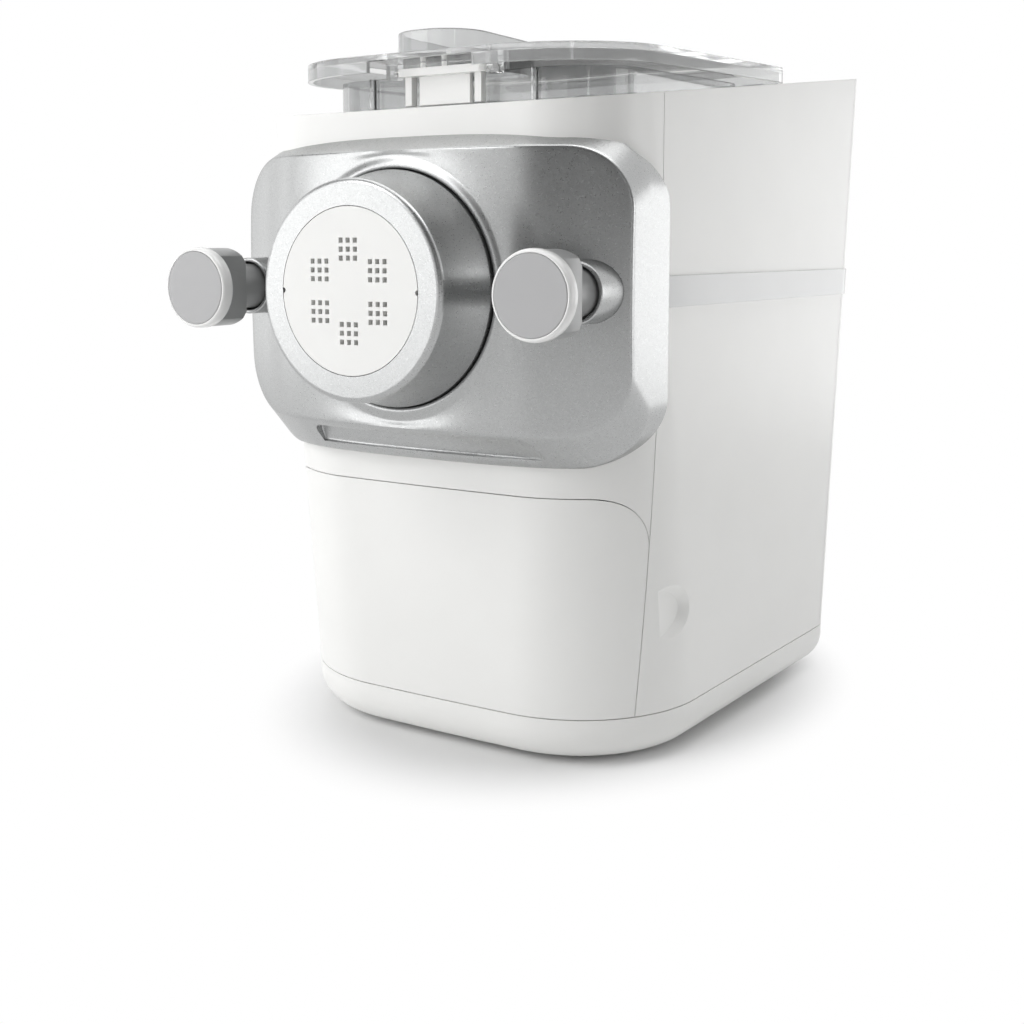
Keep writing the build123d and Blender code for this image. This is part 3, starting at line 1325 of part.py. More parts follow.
def screw_front():
    """Setback of the lugs' rear faces."""
    return GEARBOX_FRONT + GEARBOX_PLATE + LUG_LENGTH


def motor_can():
    """Steel can of the motor with its end bell."""
    inner_r, hole_r = MOTOR_R - MOTOR_WALL, ROTOR_SHAFT_R + RUNNING_GAP
    can = ring(MOTOR_R, inner_r, MOTOR_FRONT, MOTOR_REAR, 0, MOTOR_Z)
    for start in (MOTOR_FRONT, MOTOR_REAR - MOTOR_END):
        can += ring(inner_r, hole_r, start, start + MOTOR_END, 0, MOTOR_Z)
    return can


def motor_rotor():
    """Rotor with its shaft."""
    shaft = rod(ROTOR_SHAFT_R, FAN_FRONT, FAST_GEAR_FRONT + FAST_GEAR_WIDTH, 0, MOTOR_Z)
    return shaft + rod(ROTOR_R, MOTOR_FRONT + ROTOR_INSET, MOTOR_REAR - ROTOR_INSET, 0, MOTOR_Z)


def cooling_fan():
    """Fan on the front end of the rotor's shaft."""
    rear = FAN_FRONT + FAN_LENGTH
    fan = ring(FAN_HUB_R, ROTOR_SHAFT_R, FAN_FRONT, rear, 0, MOTOR_Z)
    root_x = FAN_HUB_R - FAN_BLADE
    for index in range(FAN_BLADES):
        blade = block((root_x, FAN_FRONT, -FAN_BLADE / 2), (FAN_R, rear, FAN_BLADE / 2))
        fan += Pos(0, 0, MOTOR_Z) * Rot(0, index * 360 / FAN_BLADES, 0) * blade
    return fan


def motor_board():
    """Circuit board of the motor drive with its larger components."""
    low = BASE_FLOOR_Z + DRIVE_BOARD_LIFT
    top = low + BOARD_THICKNESS
    right = DRIVE_BOARD_LEFT + DRIVE_BOARD_WIDTH
    board = block((DRIVE_BOARD_LEFT, DRIVE_BOARD_FRONT, low), (right, DRIVE_BOARD_REAR, top))
    middle = (DRIVE_BOARD_FRONT + DRIVE_BOARD_REAR) / 2
    choke = (DRIVE_BOARD_LEFT + CHOKE_INSET, middle - CHOKE_DEPTH / 2, top)
    high = (choke[0] + CHOKE_WIDTH, middle + CHOKE_DEPTH / 2, top + COMPONENT_HEIGHT)
    board += block(choke, high)
    for side in (-1, 1):
        place = (right - CAPACITOR_INSET, middle + side * CAPACITOR_PITCH / 2)
        board += Pos(*place, top + COMPONENT_HEIGHT / 2) * Cylinder(CAPACITOR_R, COMPONENT_HEIGHT)
    return board


def power_inlet():
    """Appliance inlet in the rear cover, with its recess and three contact pins."""
    surface = rear_surface(INLET_Z)
    front = surface - INLET_DEPTH - INLET_FLOOR
    place = Pos(INLET_X, INLET_Z)
    shape = RectangleRounded(INLET_WIDTH, INLET_HEIGHT, INLET_CORNER_R)
    body = backward(place * shape, front, surface - INLET_SUNK - front)
    width, height = INLET_WIDTH - 2 * INLET_WALL, INLET_HEIGHT - 2 * INLET_WALL
    recess = RectangleRounded(width, height, INLET_CORNER_R / 2)
    body -= backward(place * recess, front + INLET_FLOOR, REACH)
    pin = Rectangle(INLET_PIN_WIDTH, INLET_PIN_HEIGHT)
    for x in (-INLET_PIN_PITCH, 0, INLET_PIN_PITCH):
        rise = -INLET_PIN_DROP if x else INLET_EARTH_RISE
        body += backward(place * Pos(x, rise) * pin, front, surface - INLET_PIN_SUNK - front)
    return body


def lid_switch():
    """Sealed switch under the deck beside the chamber that senses the lid."""
    deck = rim_z(SWITCH_FRONT) - (DECK_DROP + DECK_THICKNESS) * math.sqrt(1 + RIM_SLOPE**2)
    left = CHAMBER_HALF + SWITCH_GAP
    low = (left, SWITCH_FRONT, deck - SWITCH_HEIGHT)
    return block(low, (left + SWITCH_WIDTH, SWITCH_FRONT + SWITCH_DEPTH, deck))


def write(shapes):
    """Move every piece to the origin under the machine and write one STEP file each."""
    os.makedirs("parts", exist_ok=True)
    centred = Pos(0, -OVERALL_DEPTH / 2, 0)
    for name, shape in shapes.items():
        export_step(centred * shape, f"parts/{name}.step")


def build():
    """All pieces by name."""
    wall = housing_wall()
    shapes = {
        "base_tray": base_tray(),
        "rubber_feet": rubber_feet(),
        "front_cover": front_cover(wall),
        "side_shell_left": side_shell(wall, -1),
        "side_shell_right": side_shell(wall, 1),
        "rear_cover": rear_cover(wall),
        "rear_screws": rear_screws(),
        "side_band_left": side_band(-1),
        "side_band_right": side_band(1),
        "top_deck": top_deck(),
        "control_fascia": control_fascia(),
        "display_glass": display_glass(),
        "control_board": control_board(),
        "front_plate": front_plate(),
        "lip_ring": lip_ring(),
        "extrusion_tube": extrusion_tube(),
        "disc_nut": disc_nut(),
        "shaping_disc": shaping_disc(),
        "extruding_screw": extruding_screw(),
        "mixing_paddle": mixing_paddle(),
        "drive_shaft": drive_shaft(),
        "output_gear": output_gear(),
        "lay_shaft": lay_shaft(),
        "lay_gears": lay_gears(),
        "shaft_bushes": shaft_bushes(),
        "shaft_seal": shaft_seal(),
        "gearbox_bulkhead": gearbox_bulkhead(),
        "gearbox_case": gearbox_case(),
        "gearbox_screws": gearbox_screws(),
        "motor_can": motor_can(),
        "motor_rotor": motor_rotor(),
        "motor_pinion": motor_pinion(),
        "cooling_fan": cooling_fan(),
        "motor_board": motor_board(),
        "power_inlet": power_inlet(),
        "mixing_chamber": mixing_chamber(),
        "chamber_shelf": chamber_shelf(),
        "lid": lid(),
        "lid_latch": lid_latch(),
        "latch_pins": latch_pins(),
        "lid_switch": lid_switch(),
        "drawer_front": drawer_front(wall),
        "drawer_tray": drawer_tray(),
        "spare_discs": spare_discs(),
    }
    for side, word in ((-1, "left"), (1, "right")):
        shapes[f"knob_cap_{word}"] = knob_cap(side)
        shapes[f"knob_rim_{word}"] = knob_rim(side)
        shapes[f"knob_body_{word}"] = knob_body(side)
        shapes[f"clamp_rod_{word}"] = clamp_rod(side)
        shapes[f"knob_sleeve_{word}"] = knob_sleeve(side)
        shapes[f"clamp_rail_{word}"] = clamp_rail(side)
    for x, word in zip(BUTTON_X, ("power", "mode", "weigh", "start")):
        shapes[f"{word}_button"] = push_button(x)
    return shapes


write(build())
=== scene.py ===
import math
import bmesh
import bpy
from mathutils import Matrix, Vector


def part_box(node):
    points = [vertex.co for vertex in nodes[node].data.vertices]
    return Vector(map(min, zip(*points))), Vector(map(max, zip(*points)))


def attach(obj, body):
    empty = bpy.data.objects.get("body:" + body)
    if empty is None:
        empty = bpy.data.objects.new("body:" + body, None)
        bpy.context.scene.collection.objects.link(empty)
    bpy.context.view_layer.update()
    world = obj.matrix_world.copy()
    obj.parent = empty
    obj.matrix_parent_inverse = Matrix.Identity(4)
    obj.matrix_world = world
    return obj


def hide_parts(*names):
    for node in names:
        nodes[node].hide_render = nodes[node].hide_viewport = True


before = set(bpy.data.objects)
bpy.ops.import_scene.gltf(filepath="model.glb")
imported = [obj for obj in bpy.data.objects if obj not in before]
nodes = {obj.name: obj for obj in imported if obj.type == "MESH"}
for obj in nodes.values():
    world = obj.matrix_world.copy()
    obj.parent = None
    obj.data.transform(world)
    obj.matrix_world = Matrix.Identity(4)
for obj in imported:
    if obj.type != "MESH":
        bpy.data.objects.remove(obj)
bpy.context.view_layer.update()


# ---- Studio: white floor, room, lamps and camera ----
# A table of matt white board before a white backdrop. Large soft boxes stand at the front
# left, at the left and overhead. The right has only a narrow strip and two small boxes near
# the machine, so that the silver parts keep deep tones there.

def linear(code):
    """Linear RGBA of an sRGB hex colour."""
    parts = [int(code[i:i + 2], 16) / 255 for i in (1, 3, 5)]
    parts = [p / 12.92 if p <= 0.04045 else ((p + 0.055) / 1.055) ** 2.4 for p in parts]
    return tuple(parts) + (1.0,)


def add(tree, kind, inputs=(), **settings):
    """Add a node with its settings; inputs pair a socket with a value or with what feeds it."""
    made = tree.nodes.new(kind)
    for name, value in settings.items():
        setattr(made, name, value)
    for socket, value in inputs:
        if isinstance(value, bpy.types.NodeSocket):
            tree.links.new(value, made.inputs[socket])
        else:
            made.inputs[socket].default_value = value
    return made


def blank_material(name):
    """New material with an empty node tree."""
    material = bpy.data.materials.new(name)
    material.use_nodes = True
    material.node_tree.nodes.clear()
    return material, material.node_tree


FLOOR_SIZE = 12.0
FADE_MIDDLE, FADE_SQUEEZE = (0.0, -0.02, 0.0), (1.0, 0.8, 1.0)
FADE_START, FADE_END = 0.103, 0.155

bpy.ops.object.select_all(action="DESELECT")
bpy.ops.mesh.primitive_plane_add(size=FLOOR_SIZE)
floor = bpy.context.object
floor.name = "studio_floor"

# The board scatters all light evenly round the machine and keeps its shadow, and to the eye
# it is a touch greyer than the light it sends back. Further out it passes into the white of
# the backdrop.
board_material, tree = blank_material("matt_white_board")
path = add(tree, "ShaderNodeLightPath")
seen = add(tree, "ShaderNodeMath", [
    (0, path.outputs["Is Camera Ray"]), (1, path.outputs["Is Glossy Ray"])])
seen = add(tree, "ShaderNodeMath", [
    (0, seen.outputs[0]), (1, path.outputs["Is Transmission Ray"])], use_clamp=True)
place = add(tree, "ShaderNodeTexCoord")
from_middle = add(tree, "ShaderNodeMapping", [
    ("Vector", place.outputs["Object"]), ("Location", FADE_MIDDLE), ("Scale", FADE_SQUEEZE)])
reach = add(tree, "ShaderNodeVectorMath", [(0, from_middle.outputs[0])], operation="LENGTH")
far = add(tree, "ShaderNodeMapRange", [
    (0, reach.outputs["Value"]), (1, FADE_START), (2, FADE_END)], interpolation_type="SMOOTHSTEP")
backdrop = add(tree, "ShaderNodeMath", [
    (0, far.outputs[0]), (1, seen.outputs[0])], operation="MULTIPLY")
paint = add(tree, "ShaderNodeMix", [
    (0, seen.outputs[0]), (6, linear("#F4F4F4")), (7, linear("#EFEFEF"))], data_type="RGBA")
matt = add(tree, "ShaderNodeBsdfDiffuse", [("Color", paint.outputs[2])])
white = add(tree, "ShaderNodeEmission", [("Color", linear("#FFFFFF")), ("Strength", 1.0)])
board = add(tree, "ShaderNodeMixShader", [
    (0, backdrop.outputs[0]), (1, matt.outputs[0]), (2, white.outputs[0])])
add(tree, "ShaderNodeOutputMaterial", [("Surface", board.outputs[0])])
floor.data.materials.append(board_material)

# The backdrop is plain white to the eye and through clear plastic. Reflections show it
# white behind and beside the machine, and the dim room in front of it. All other light
# from the room is a weak even fill.
ROOM_FILL = 0.1
ROOM_FRONT, ROOM_BACK = 0.08, 1.0
FRONT_TURN, BACK_TURN = -0.35, 0.3

room = bpy.data.worlds.new("studio_room")
bpy.context.scene.world = room
room.use_nodes = True
tree = room.node_tree
tree.nodes.clear()
direction = add(tree, "ShaderNodeTexCoord")
axes = add(tree, "ShaderNodeSeparateXYZ", [(0, direction.outputs["Generated"])])
sides = add(tree, "ShaderNodeMapRange", [
    (0, axes.outputs["Y"]), (1, FRONT_TURN), (2, BACK_TURN), (3, ROOM_FRONT), (4, ROOM_BACK)],
    interpolation_type="SMOOTHSTEP")
path = add(tree, "ShaderNodeLightPath")
mirrored = add(tree, "ShaderNodeMix", [
    (0, path.outputs["Is Glossy Ray"]), (2, ROOM_FILL), (3, sides.outputs[0])])
clear_view = add(tree, "ShaderNodeMath", [
    (0, path.outputs["Is Camera Ray"]), (1, path.outputs["Is Transmission Ray"])], use_clamp=True)
level = add(tree, "ShaderNodeMix", [
    (0, clear_view.outputs[0]), (2, mirrored.outputs[0]), (3, 1.0)])
sky = add(tree, "ShaderNodeBackground", [
    ("Color", linear("#FFFFFF")), ("Strength", level.outputs[0])])
add(tree, "ShaderNodeOutputWorld", [("Surface", sky.outputs[0])])

LAMP_TARGET = (0.0, 0.0, 0.17)


def soft_box(name, around, height, distance, width, tall, watts):
    """Rectangular lamp aimed at the machine, placed by its angles round and above it.

    Angles are in degrees: 0 is the front, 90 the right side. Sizes are in metres."""
    data = bpy.data.lights.new(name, "AREA")
    data.shape = "RECTANGLE"
    data.size = width
    data.size_y = tall
    data.energy = watts
    lamp = bpy.data.objects.new(name, data)
    bpy.context.scene.collection.objects.link(lamp)
    turn, rise = math.radians(around), math.radians(height)
    lamp.location = (LAMP_TARGET[0] + distance * math.sin(turn) * math.cos(rise),
                     LAMP_TARGET[1] - distance * math.cos(turn) * math.cos(rise),
                     LAMP_TARGET[2] + distance * math.sin(rise))
    lamp.rotation_euler = (math.radians(90 - height), 0.0, turn)


soft_box("front_left_box_high", -28, 38, 1.8, 0.95, 0.95, 12.8)
soft_box("front_left_box_low", -39, 6, 1.8, 0.95, 0.95, 7.6)
soft_box("front_box_low", -4, 6, 1.8, 0.95, 0.95, 2.4)
soft_box("left_box", -72, 8, 1.5, 1.0, 1.2, 4.4)
soft_box("edge_strip", 46, 10, 1.8, 0.1, 1.0, 0.8)
soft_box("right_strip_near", 105, 5, 0.75, 0.35, 0.35, 0.8)
soft_box("right_rear_strip_near", 150, 5, 0.75, 0.35, 0.35, 0.64)
soft_box("top_rear_box", 120, 68, 1.8, 0.9, 0.9, 7.0)
soft_box("top_box", 0, 84, 1.6, 0.9, 0.9, 5.0)
soft_box("left_rear_box", -120, 60, 1.8, 0.95, 0.95, 4.0)

CAMERA_PLACE = (0.34968, -0.60343, 0.23984)
CAMERA_TURN = (math.radians(83.53), 0.0, math.radians(31.45))
camera = bpy.data.objects.new("camera", bpy.data.cameras.new("camera"))
bpy.context.scene.collection.objects.link(camera)
camera.location = CAMERA_PLACE
camera.rotation_euler = CAMERA_TURN
camera.data.lens = 46.552
camera.data.sensor_width = 36.0
camera.data.shift_x = 0.0003
camera.data.shift_y = -0.116
bpy.context.scene.camera = camera
bpy.context.scene.view_settings.view_transform = "Standard"

# Light turns many times inside clear plastic before it comes out of an edge.
bpy.context.scene.cycles.max_bounces = 28
bpy.context.scene.cycles.glossy_bounces = 24
bpy.context.scene.cycles.transmission_bounces = 24


# ---- Base tray and feet ----
# The tray is injection-moulded white ABS from a spark-eroded tool. The feet are soft
# moulded rubber pressed into it.

GLOSS_DRIFT = 0.05
GRAIN_STRENGTH, GRAIN_FLATNESS = 0.25, 20


def eroded_plastic(name, colour, shade, grain_mm, roughness, coarse_mm=40.0, edge_mm=0.35):
    """Moulded plastic: faint tone drift, a fine eroded grain and softened edges."""
    material, tree = blank_material(name)
    place = add(tree, "ShaderNodeTexCoord")
    drift = add(tree, "ShaderNodeTexNoise", [
        ("Vector", place.outputs["Object"]), ("Scale", 1000 / coarse_mm), ("Detail", 2.0)])
    tone = add(tree, "ShaderNodeMix", [
        (0, drift.outputs["Fac"]), (6, linear(colour)), (7, linear(shade))], data_type="RGBA")
    grain = add(tree, "ShaderNodeTexNoise", [
        ("Vector", place.outputs["Object"]), ("Scale", 1000 / grain_mm), ("Detail", 3.0)])
    gloss = add(tree, "ShaderNodeMapRange", [
        (0, grain.outputs["Fac"]), (3, roughness - GLOSS_DRIFT), (4, roughness + GLOSS_DRIFT)])
    edge = add(tree, "ShaderNodeBevel", [("Radius", edge_mm / 1000)], samples=4)
    relief = add(tree, "ShaderNodeBump", [
        ("Strength", GRAIN_STRENGTH), ("Distance", grain_mm / (1000 * GRAIN_FLATNESS)),
        ("Height", grain.outputs["Fac"]), ("Normal", edge.outputs[0])])
    skin = add(tree, "ShaderNodeBsdfPrincipled", [
        ("Base Color", tone.outputs[2]), ("Roughness", gloss.outputs[0]), ("IOR", 1.54),
        ("Normal", relief.outputs[0])])
    add(tree, "ShaderNodeOutputMaterial", [("Surface", skin.outputs[0])])
    return material


def dress(material, *names):
    """Give CAD nodes a material."""
    for name in names:
        mesh = nodes[name].data
        mesh.materials.clear()
        mesh.materials.append(material)


# ABS with a satin skin: soft wide highlights. The grain is drawn at 0.8 mm, coarser
# than the real 0.1 mm, so that it shows at all.
white_abs = eroded_plastic("white_abs_satin", "#F4F4F2", "#EFEFED", 0.8, 0.34)
# Matt moulded rubber: dark grey with hardly any highlight.
grey_rubber = eroded_plastic("grey_rubber_moulded", "#4A4A49", "#3C3C3B", 1.2, 0.75)
dress(white_abs, "base_tray")
dress(grey_rubber, "rubber_feet")


# ---- Gearbox, shafts and motor ----
# A zinc-plated steel bulkhead carries acetal gears on turned steel shafts in sintered
# bronze bushes, under a moulded case, with the motor screwed to its front.

STREAK_DRIFT = 0.07


def worked_metal(name, colour, shade, streak_mm, roughness, stretch=(1.0, 1.0, 1.0)):
    """Bare metal with fine tool streaks drawn out along one axis."""
    material, tree = blank_material(name)
    place = add(tree, "ShaderNodeTexCoord")
    drawn = add(tree, "ShaderNodeMapping", [
        ("Vector", place.outputs["Object"]), ("Scale", stretch)])
    streaks = add(tree, "ShaderNodeTexNoise", [
        ("Vector", drawn.outputs[0]), ("Scale", 1000 / streak_mm), ("Detail", 4.0)])
    tone = add(tree, "ShaderNodeMix", [
        (0, streaks.outputs["Fac"]), (6, linear(colour)), (7, linear(shade))], data_type="RGBA")
    gloss = add(tree, "ShaderNodeMapRange", [
        (0, streaks.outputs["Fac"]), (3, roughness - STREAK_DRIFT), (4, roughness + STREAK_DRIFT)])
    metal = add(tree, "ShaderNodeBsdfPrincipled", [
        ("Base Color", tone.outputs[2]), ("Metallic", 1.0), ("Roughness", gloss.outputs[0])])
    add(tree, "ShaderNodeOutputMaterial", [("Surface", metal.outputs[0])])
    return material


# Zinc-plated sheet: dull bluish grey in soft patches of spangle.
zinc_plated = worked_metal("zinc_plated_sheet", "#B9BDC0", "#A3A8AC", 6.0, 0.42)
# Turned steel: bright, with close rings from the tool round each shaft.
turned_steel = worked_metal("turned_steel", "#C4C6C8", "#AEB0B3", 0.6, 0.24, (1.0, 8.0, 1.0))
# Sintered bronze: brown and dull from its open pores.
sintered_bronze = worked_metal("sintered_bronze", "#A8783C", "#8D6230", 0.5, 0.5)
# Acetal and nylon straight from the mould: waxy cream gears, satin black case, fan and trays.
acetal = eroded_plastic("acetal_moulded", "#E8E4D6", "#DED9C8", 1.0, 0.4)
black_nylon = eroded_plastic("black_nylon_moulded", "#262728", "#1D1E1F", 1.0, 0.5)
dress(zinc_plated, "gearbox_bulkhead", "motor_can", "clamp_rail_left", "clamp_rail_right")
dress(turned_steel, "drive_shaft", "lay_shaft", "motor_rotor", "motor_pinion", "gearbox_screws",
      "rear_screws", "extruding_screw", "clamp_rod_left", "clamp_rod_right")
dress(sintered_bronze, "shaft_bushes")
dress(acetal, "output_gear", "lay_gears")
dress(black_nylon, "gearbox_case", "cooling_fan", "power_inlet", "lid_switch", "chamber_shelf",
      "drawer_tray", "extrusion_tube")


# ---- Circuit boards ----
# Two glass-epoxy boards, one on posts of the base tray for the motor and one under the deck
# for the controls. The solder mask is a lacquer: smooth dark green.

solder_mask = eroded_plastic("solder_mask_green", "#12452A", "#0E3A22", 3.0, 0.3)
dress(solder_mask, "motor_board", "control_board")


# ---- Housing shells ----
# Front cover, two side shells, rear cover, top deck and drawer front, all moulded in the
# same white ABS as the base. They meet at fine seams, and four screws hold the rear cover.

dress(white_abs, "front_cover", "side_shell_left", "side_shell_right", "rear_cover", "top_deck",
      "drawer_front")


# ---- Side bands ----
# A strip along each side, moulded in ABS from a polished tool and bonded into its recess.
# It is light grey and glossy, so it mirrors the room in one long streak.

band_plastic = eroded_plastic("light_grey_abs_glossy", "#DCDDDD", "#D5D6D6", 1.0, 0.16)
dress(band_plastic, "side_band_left", "side_band_right")


# ---- Controls ----
# A thin dark acrylic fascia with a smoked display window, bonded to the deck, and four grey
# plastic buttons that stand through both. Fascia and window are polished, the buttons matt.

fascia_gloss = eroded_plastic("black_pmma_glossy", "#1B1C1E", "#161719", 2.0, 0.1)
display_smoke = eroded_plastic("smoked_window", "#0B0C0E", "#08090A", 2.0, 0.06)
button_grey = eroded_plastic("grey_button_matt", "#C9C9C9", "#BFBFBF", 0.8, 0.45)
dress(fascia_gloss, "control_fascia")
dress(display_smoke, "display_glass")
dress(button_grey, "power_button", "mode_button", "weigh_button", "start_button")


# ---- Mixing chamber, lid, paddle and seal ----
# Tub and lid are moulded in clear copolyester. The paddle is grey food-grade plastic on the
# steel shaft, which a silicone ring seals.

# Flat walls keep a near-white tint. Upright and slanting walls get painted shade.
FLAT_TINT = "#ECECEB"
UPRIGHT_UP_TO, FLAT_FROM = 0.1, 0.6
CLEAR_EDGE_MM = 0.6


def clear_plastic(name, upright, slant_painted_shade, haze):
    """Clear moulded plastic with painted shade: a grey tint on upright walls and a darker one on
    walls seen at a slant.

    The haze is the share of light that upright walls scatter."""
    material, tree = blank_material(name)
    lie = add(tree, "ShaderNodeNewGeometry")
    faces = add(tree, "ShaderNodeSeparateXYZ", [(0, lie.outputs["True Normal"])])
    flat = add(tree, "ShaderNodeMath", [(0, faces.outputs["Z"])], operation="ABSOLUTE")
    flat = add(tree, "ShaderNodeMapRange", [
        (0, flat.outputs[0]), (1, UPRIGHT_UP_TO), (2, FLAT_FROM)])
    # Painted shade: upright walls are tinted greyer than flat ones.
    wall_painted_shade = add(tree, "ShaderNodeMix", [
        (0, flat.outputs[0]), (6, linear(upright)), (7, linear(FLAT_TINT))], data_type="RGBA")
    # Painted shade: walls seen at a slant are tinted darker still.
    slant = add(tree, "ShaderNodeLayerWeight", [("Blend", 0.25)])
    painted_shade_tint = add(tree, "ShaderNodeMix", [
        (0, slant.outputs["Facing"]), (6, wall_painted_shade.outputs[2]), (7, linear(slant_painted_shade))],
        data_type="RGBA")
    clear = add(tree, "ShaderNodeMapRange", [(0, flat.outputs[0]), (3, 1.0 - haze), (4, 1.0)])
    edge = add(tree, "ShaderNodeBevel", [("Radius", CLEAR_EDGE_MM / 1000)], samples=4)
    body = add(tree, "ShaderNodeBsdfPrincipled", [
        ("Base Color", painted_shade_tint.outputs[2]), ("Roughness", 0.02), ("IOR", 1.42),
        ("Transmission Weight", clear.outputs[0]), ("Normal", edge.outputs[0])])
    add(tree, "ShaderNodeOutputMaterial", [("Surface", body.outputs[0])])
    return material


# Water-clear and glossy, with bright edges. Upright walls are tinted greyer than flat ones,
# and walls seen at a slant greyer still: both are painted shade. A slight haze in the lid's
# upright walls stands for their fine ribs.
clear_copolyester = clear_plastic("clear_copolyester_moulded", "#CBCCCC", "#9C9D9D", 0.0)
lid_copolyester = clear_plastic("clear_copolyester_lid", "#E2E3E3", "#A2A3A3", 0.2)
# Plain satin grey plastic, and silicone that is duller still.
paddle_plastic = eroded_plastic("grey_food_plastic", "#A9ACAF", "#9DA0A3", 0.8, 0.4)
silicone = eroded_plastic("grey_silicone_moulded", "#8C8D8E", "#7F8081", 1.0, 0.6)
dress(clear_copolyester, "mixing_chamber")
dress(lid_copolyester, "lid")
dress(paddle_plastic, "mixing_paddle")
dress(silicone, "shaft_seal")


# ---- Nut and shaping discs ----
# The nut is moulded and sprayed with fine silver metallic paint under a satin clear coat,
# and it holds one disc on the extrusion tube by its thread. The discs are moulded in
# milk-white acetal, and the spare ones lie in the drawer.

FLAKE_MM, FLAKE_STRENGTH, FLAKE_DEPTH_MM = 0.4, 0.08, 0.03
SMOOTHEST_FLAKE, ROUGHEST_FLAKE = 0.27, 0.37

# Metallic paint: a soft metal sheen without a sharp mirror image. The flakes are drawn at
# 0.4 mm, coarser than the real ones, as a faint sparkle.
silver_paint, tree = blank_material("silver_metallic_paint_satin")
place = add(tree, "ShaderNodeTexCoord")
flakes = add(tree, "ShaderNodeTexVoronoi", [
    ("Vector", place.outputs["Object"]), ("Scale", 1000 / FLAKE_MM)])
flake = add(tree, "ShaderNodeSeparateColor", [(0, flakes.outputs["Color"])])
tone = add(tree, "ShaderNodeMix", [
    (0, flake.outputs[0]), (6, linear("#A7A8A8")), (7, linear("#B3B4B4"))], data_type="RGBA")
gloss = add(tree, "ShaderNodeMapRange", [
    (0, flake.outputs[1]), (3, SMOOTHEST_FLAKE), (4, ROUGHEST_FLAKE)])
relief = add(tree, "ShaderNodeBump", [
    ("Strength", FLAKE_STRENGTH), ("Distance", FLAKE_DEPTH_MM / 1000),
    ("Height", flake.outputs[2])])
coat = add(tree, "ShaderNodeBsdfPrincipled", [
    ("Base Color", tone.outputs[2]), ("Metallic", 0.9), ("Roughness", gloss.outputs[0]),
    ("Normal", relief.outputs[0])])
add(tree, "ShaderNodeOutputMaterial", [("Surface", coat.outputs[0])])
dress(silver_paint, "disc_nut")

# Acetal has a milky, waxy white with a soft highlight.
disc_acetal = eroded_plastic("milk_white_acetal", "#F0F0EE", "#EBEBE9", 0.6, 0.42)
dress(disc_acetal, "shaping_disc", "spare_discs")


# ---- Front panel ----
# One injection-moulded ABS shell in the nut's silver paint, held by the two clamp rods. It
# rolls over a soft lip round the nut, and a finger pocket in its lower rim lifts it off.

# The shell is drawn as spokes. Each runs from the nut's bore over the lip, the face and the
# rim back to the cover, and all have the same number of points.
disc_low, disc_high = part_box("shaping_disc")
knob_low, knob_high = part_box("knob_cap_right")
plate_low, plate_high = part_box("front_plate")
DISC_FACE_Y = disc_low.y
AXIS_Z = 500 * (disc_low.z + disc_high.z)
KNOB_X = 500 * (knob_low.x + knob_high.x)
PANEL_HALF = 1000 * plate_high.x
PANEL_LOW, PANEL_HIGH = 1000 * plate_low.z, 1000 * plate_high.z
PANEL_REAR = 1000 * (plate_high.y - DISC_FACE_Y)

PLAN = [(0.0, 29.7), (57.6, 34.0), (KNOB_X, 47.6), (PANEL_HALF, 55.5)]
CROWN, CROWN_REACH = 2.0, 60.0
SHELL = 2.4
FACE_LOW, FACE_HIGH = PANEL_LOW + 15.8, PANEL_HIGH - 8.1
FACE_CORNER, REAR_CORNER_TOP, REAR_CORNER_LOW = 27.0, 29.0, 28.5
SIDE_STEPS, CORNER_STEPS, TOP_STEPS = 44, 30, 96
FACE_POINTS, FACE_STEPS, FACE_CROWDING = 24, 26, 1.25
FILL_STEP = 0.3

EDGE_BACK, EDGE_ROUND, EDGE_CLEAR = 15.0, 1.3, 0.9
RIM_SHORTEST, RIM_STEPS = 0.5, 3
COVER_GAP, REAR_EASE = 0.4, 9

LIP_BORE, LIP_CREST, LIP_END = 52.5, 54.0, 58.4
LIP_FRONT, LIP_DROP, LIP_FOOT, LIP_REAR = 30.9, 1.7, 1.5, 46.0
LIP_STEPS, FOOT_STEPS = 4, 6
LIP_BLEND, LIP_BLEND_MOST = 17.0, 0.9

POCKET_LEFT, POCKET_RIGHT = -52.0, 66.0
POCKET_TOP, POCKET_BOTTOM = 0.18, 0.74
POCKET_LEFT_R, POCKET_RIGHT_R = 5.0, 19.0
POCKET_DEEP, POCKET_SHALLOW, POCKET_LEDGE = 5.5, 0.8, 1.7
POCKET_INWARD = (0, 0.725, 0.688)
POCKET_RIM_ROUND, POCKET_ROUND, POCKET_STEPS = 0.5, 1.5, 2
POCKET_OUTSIDE, POCKET_MARGIN = 0.04, 1.0

ROUNDING_MOST = 0.45
WELD = 0.000002
SLEEVE_HOLE_R = 13.42
DRILL_LENGTH, DRILL_SETBACK, DRILL_SIDES = 120.0, 60.0, 96


def mm_point(x, setback, z):
    """Point in metres from millimetres: across, back from the disc's face, and up."""
    return (x / 1000, DISC_FACE_Y + setback / 1000, z / 1000)


def mix(a, b, part):
    """Value or point a given part of the way from one to the other."""
    if isinstance(a, tuple):
        return tuple(mix(p, q, part) for p, q in zip(a, b))
    return a + (b - a) * part


def smooth_step(part):
    """Ramp from 0 to 1 with a soft start and end."""
    part = min(max(part, 0.0), 1.0)
    return part * part * (3 - 2 * part)


def evenly(start, end, step):
    """Values from start up to just before end, no further apart than the step."""
    count = math.ceil((end - start) / step)
    return [mix(start, end, k / count) for k in range(count)]


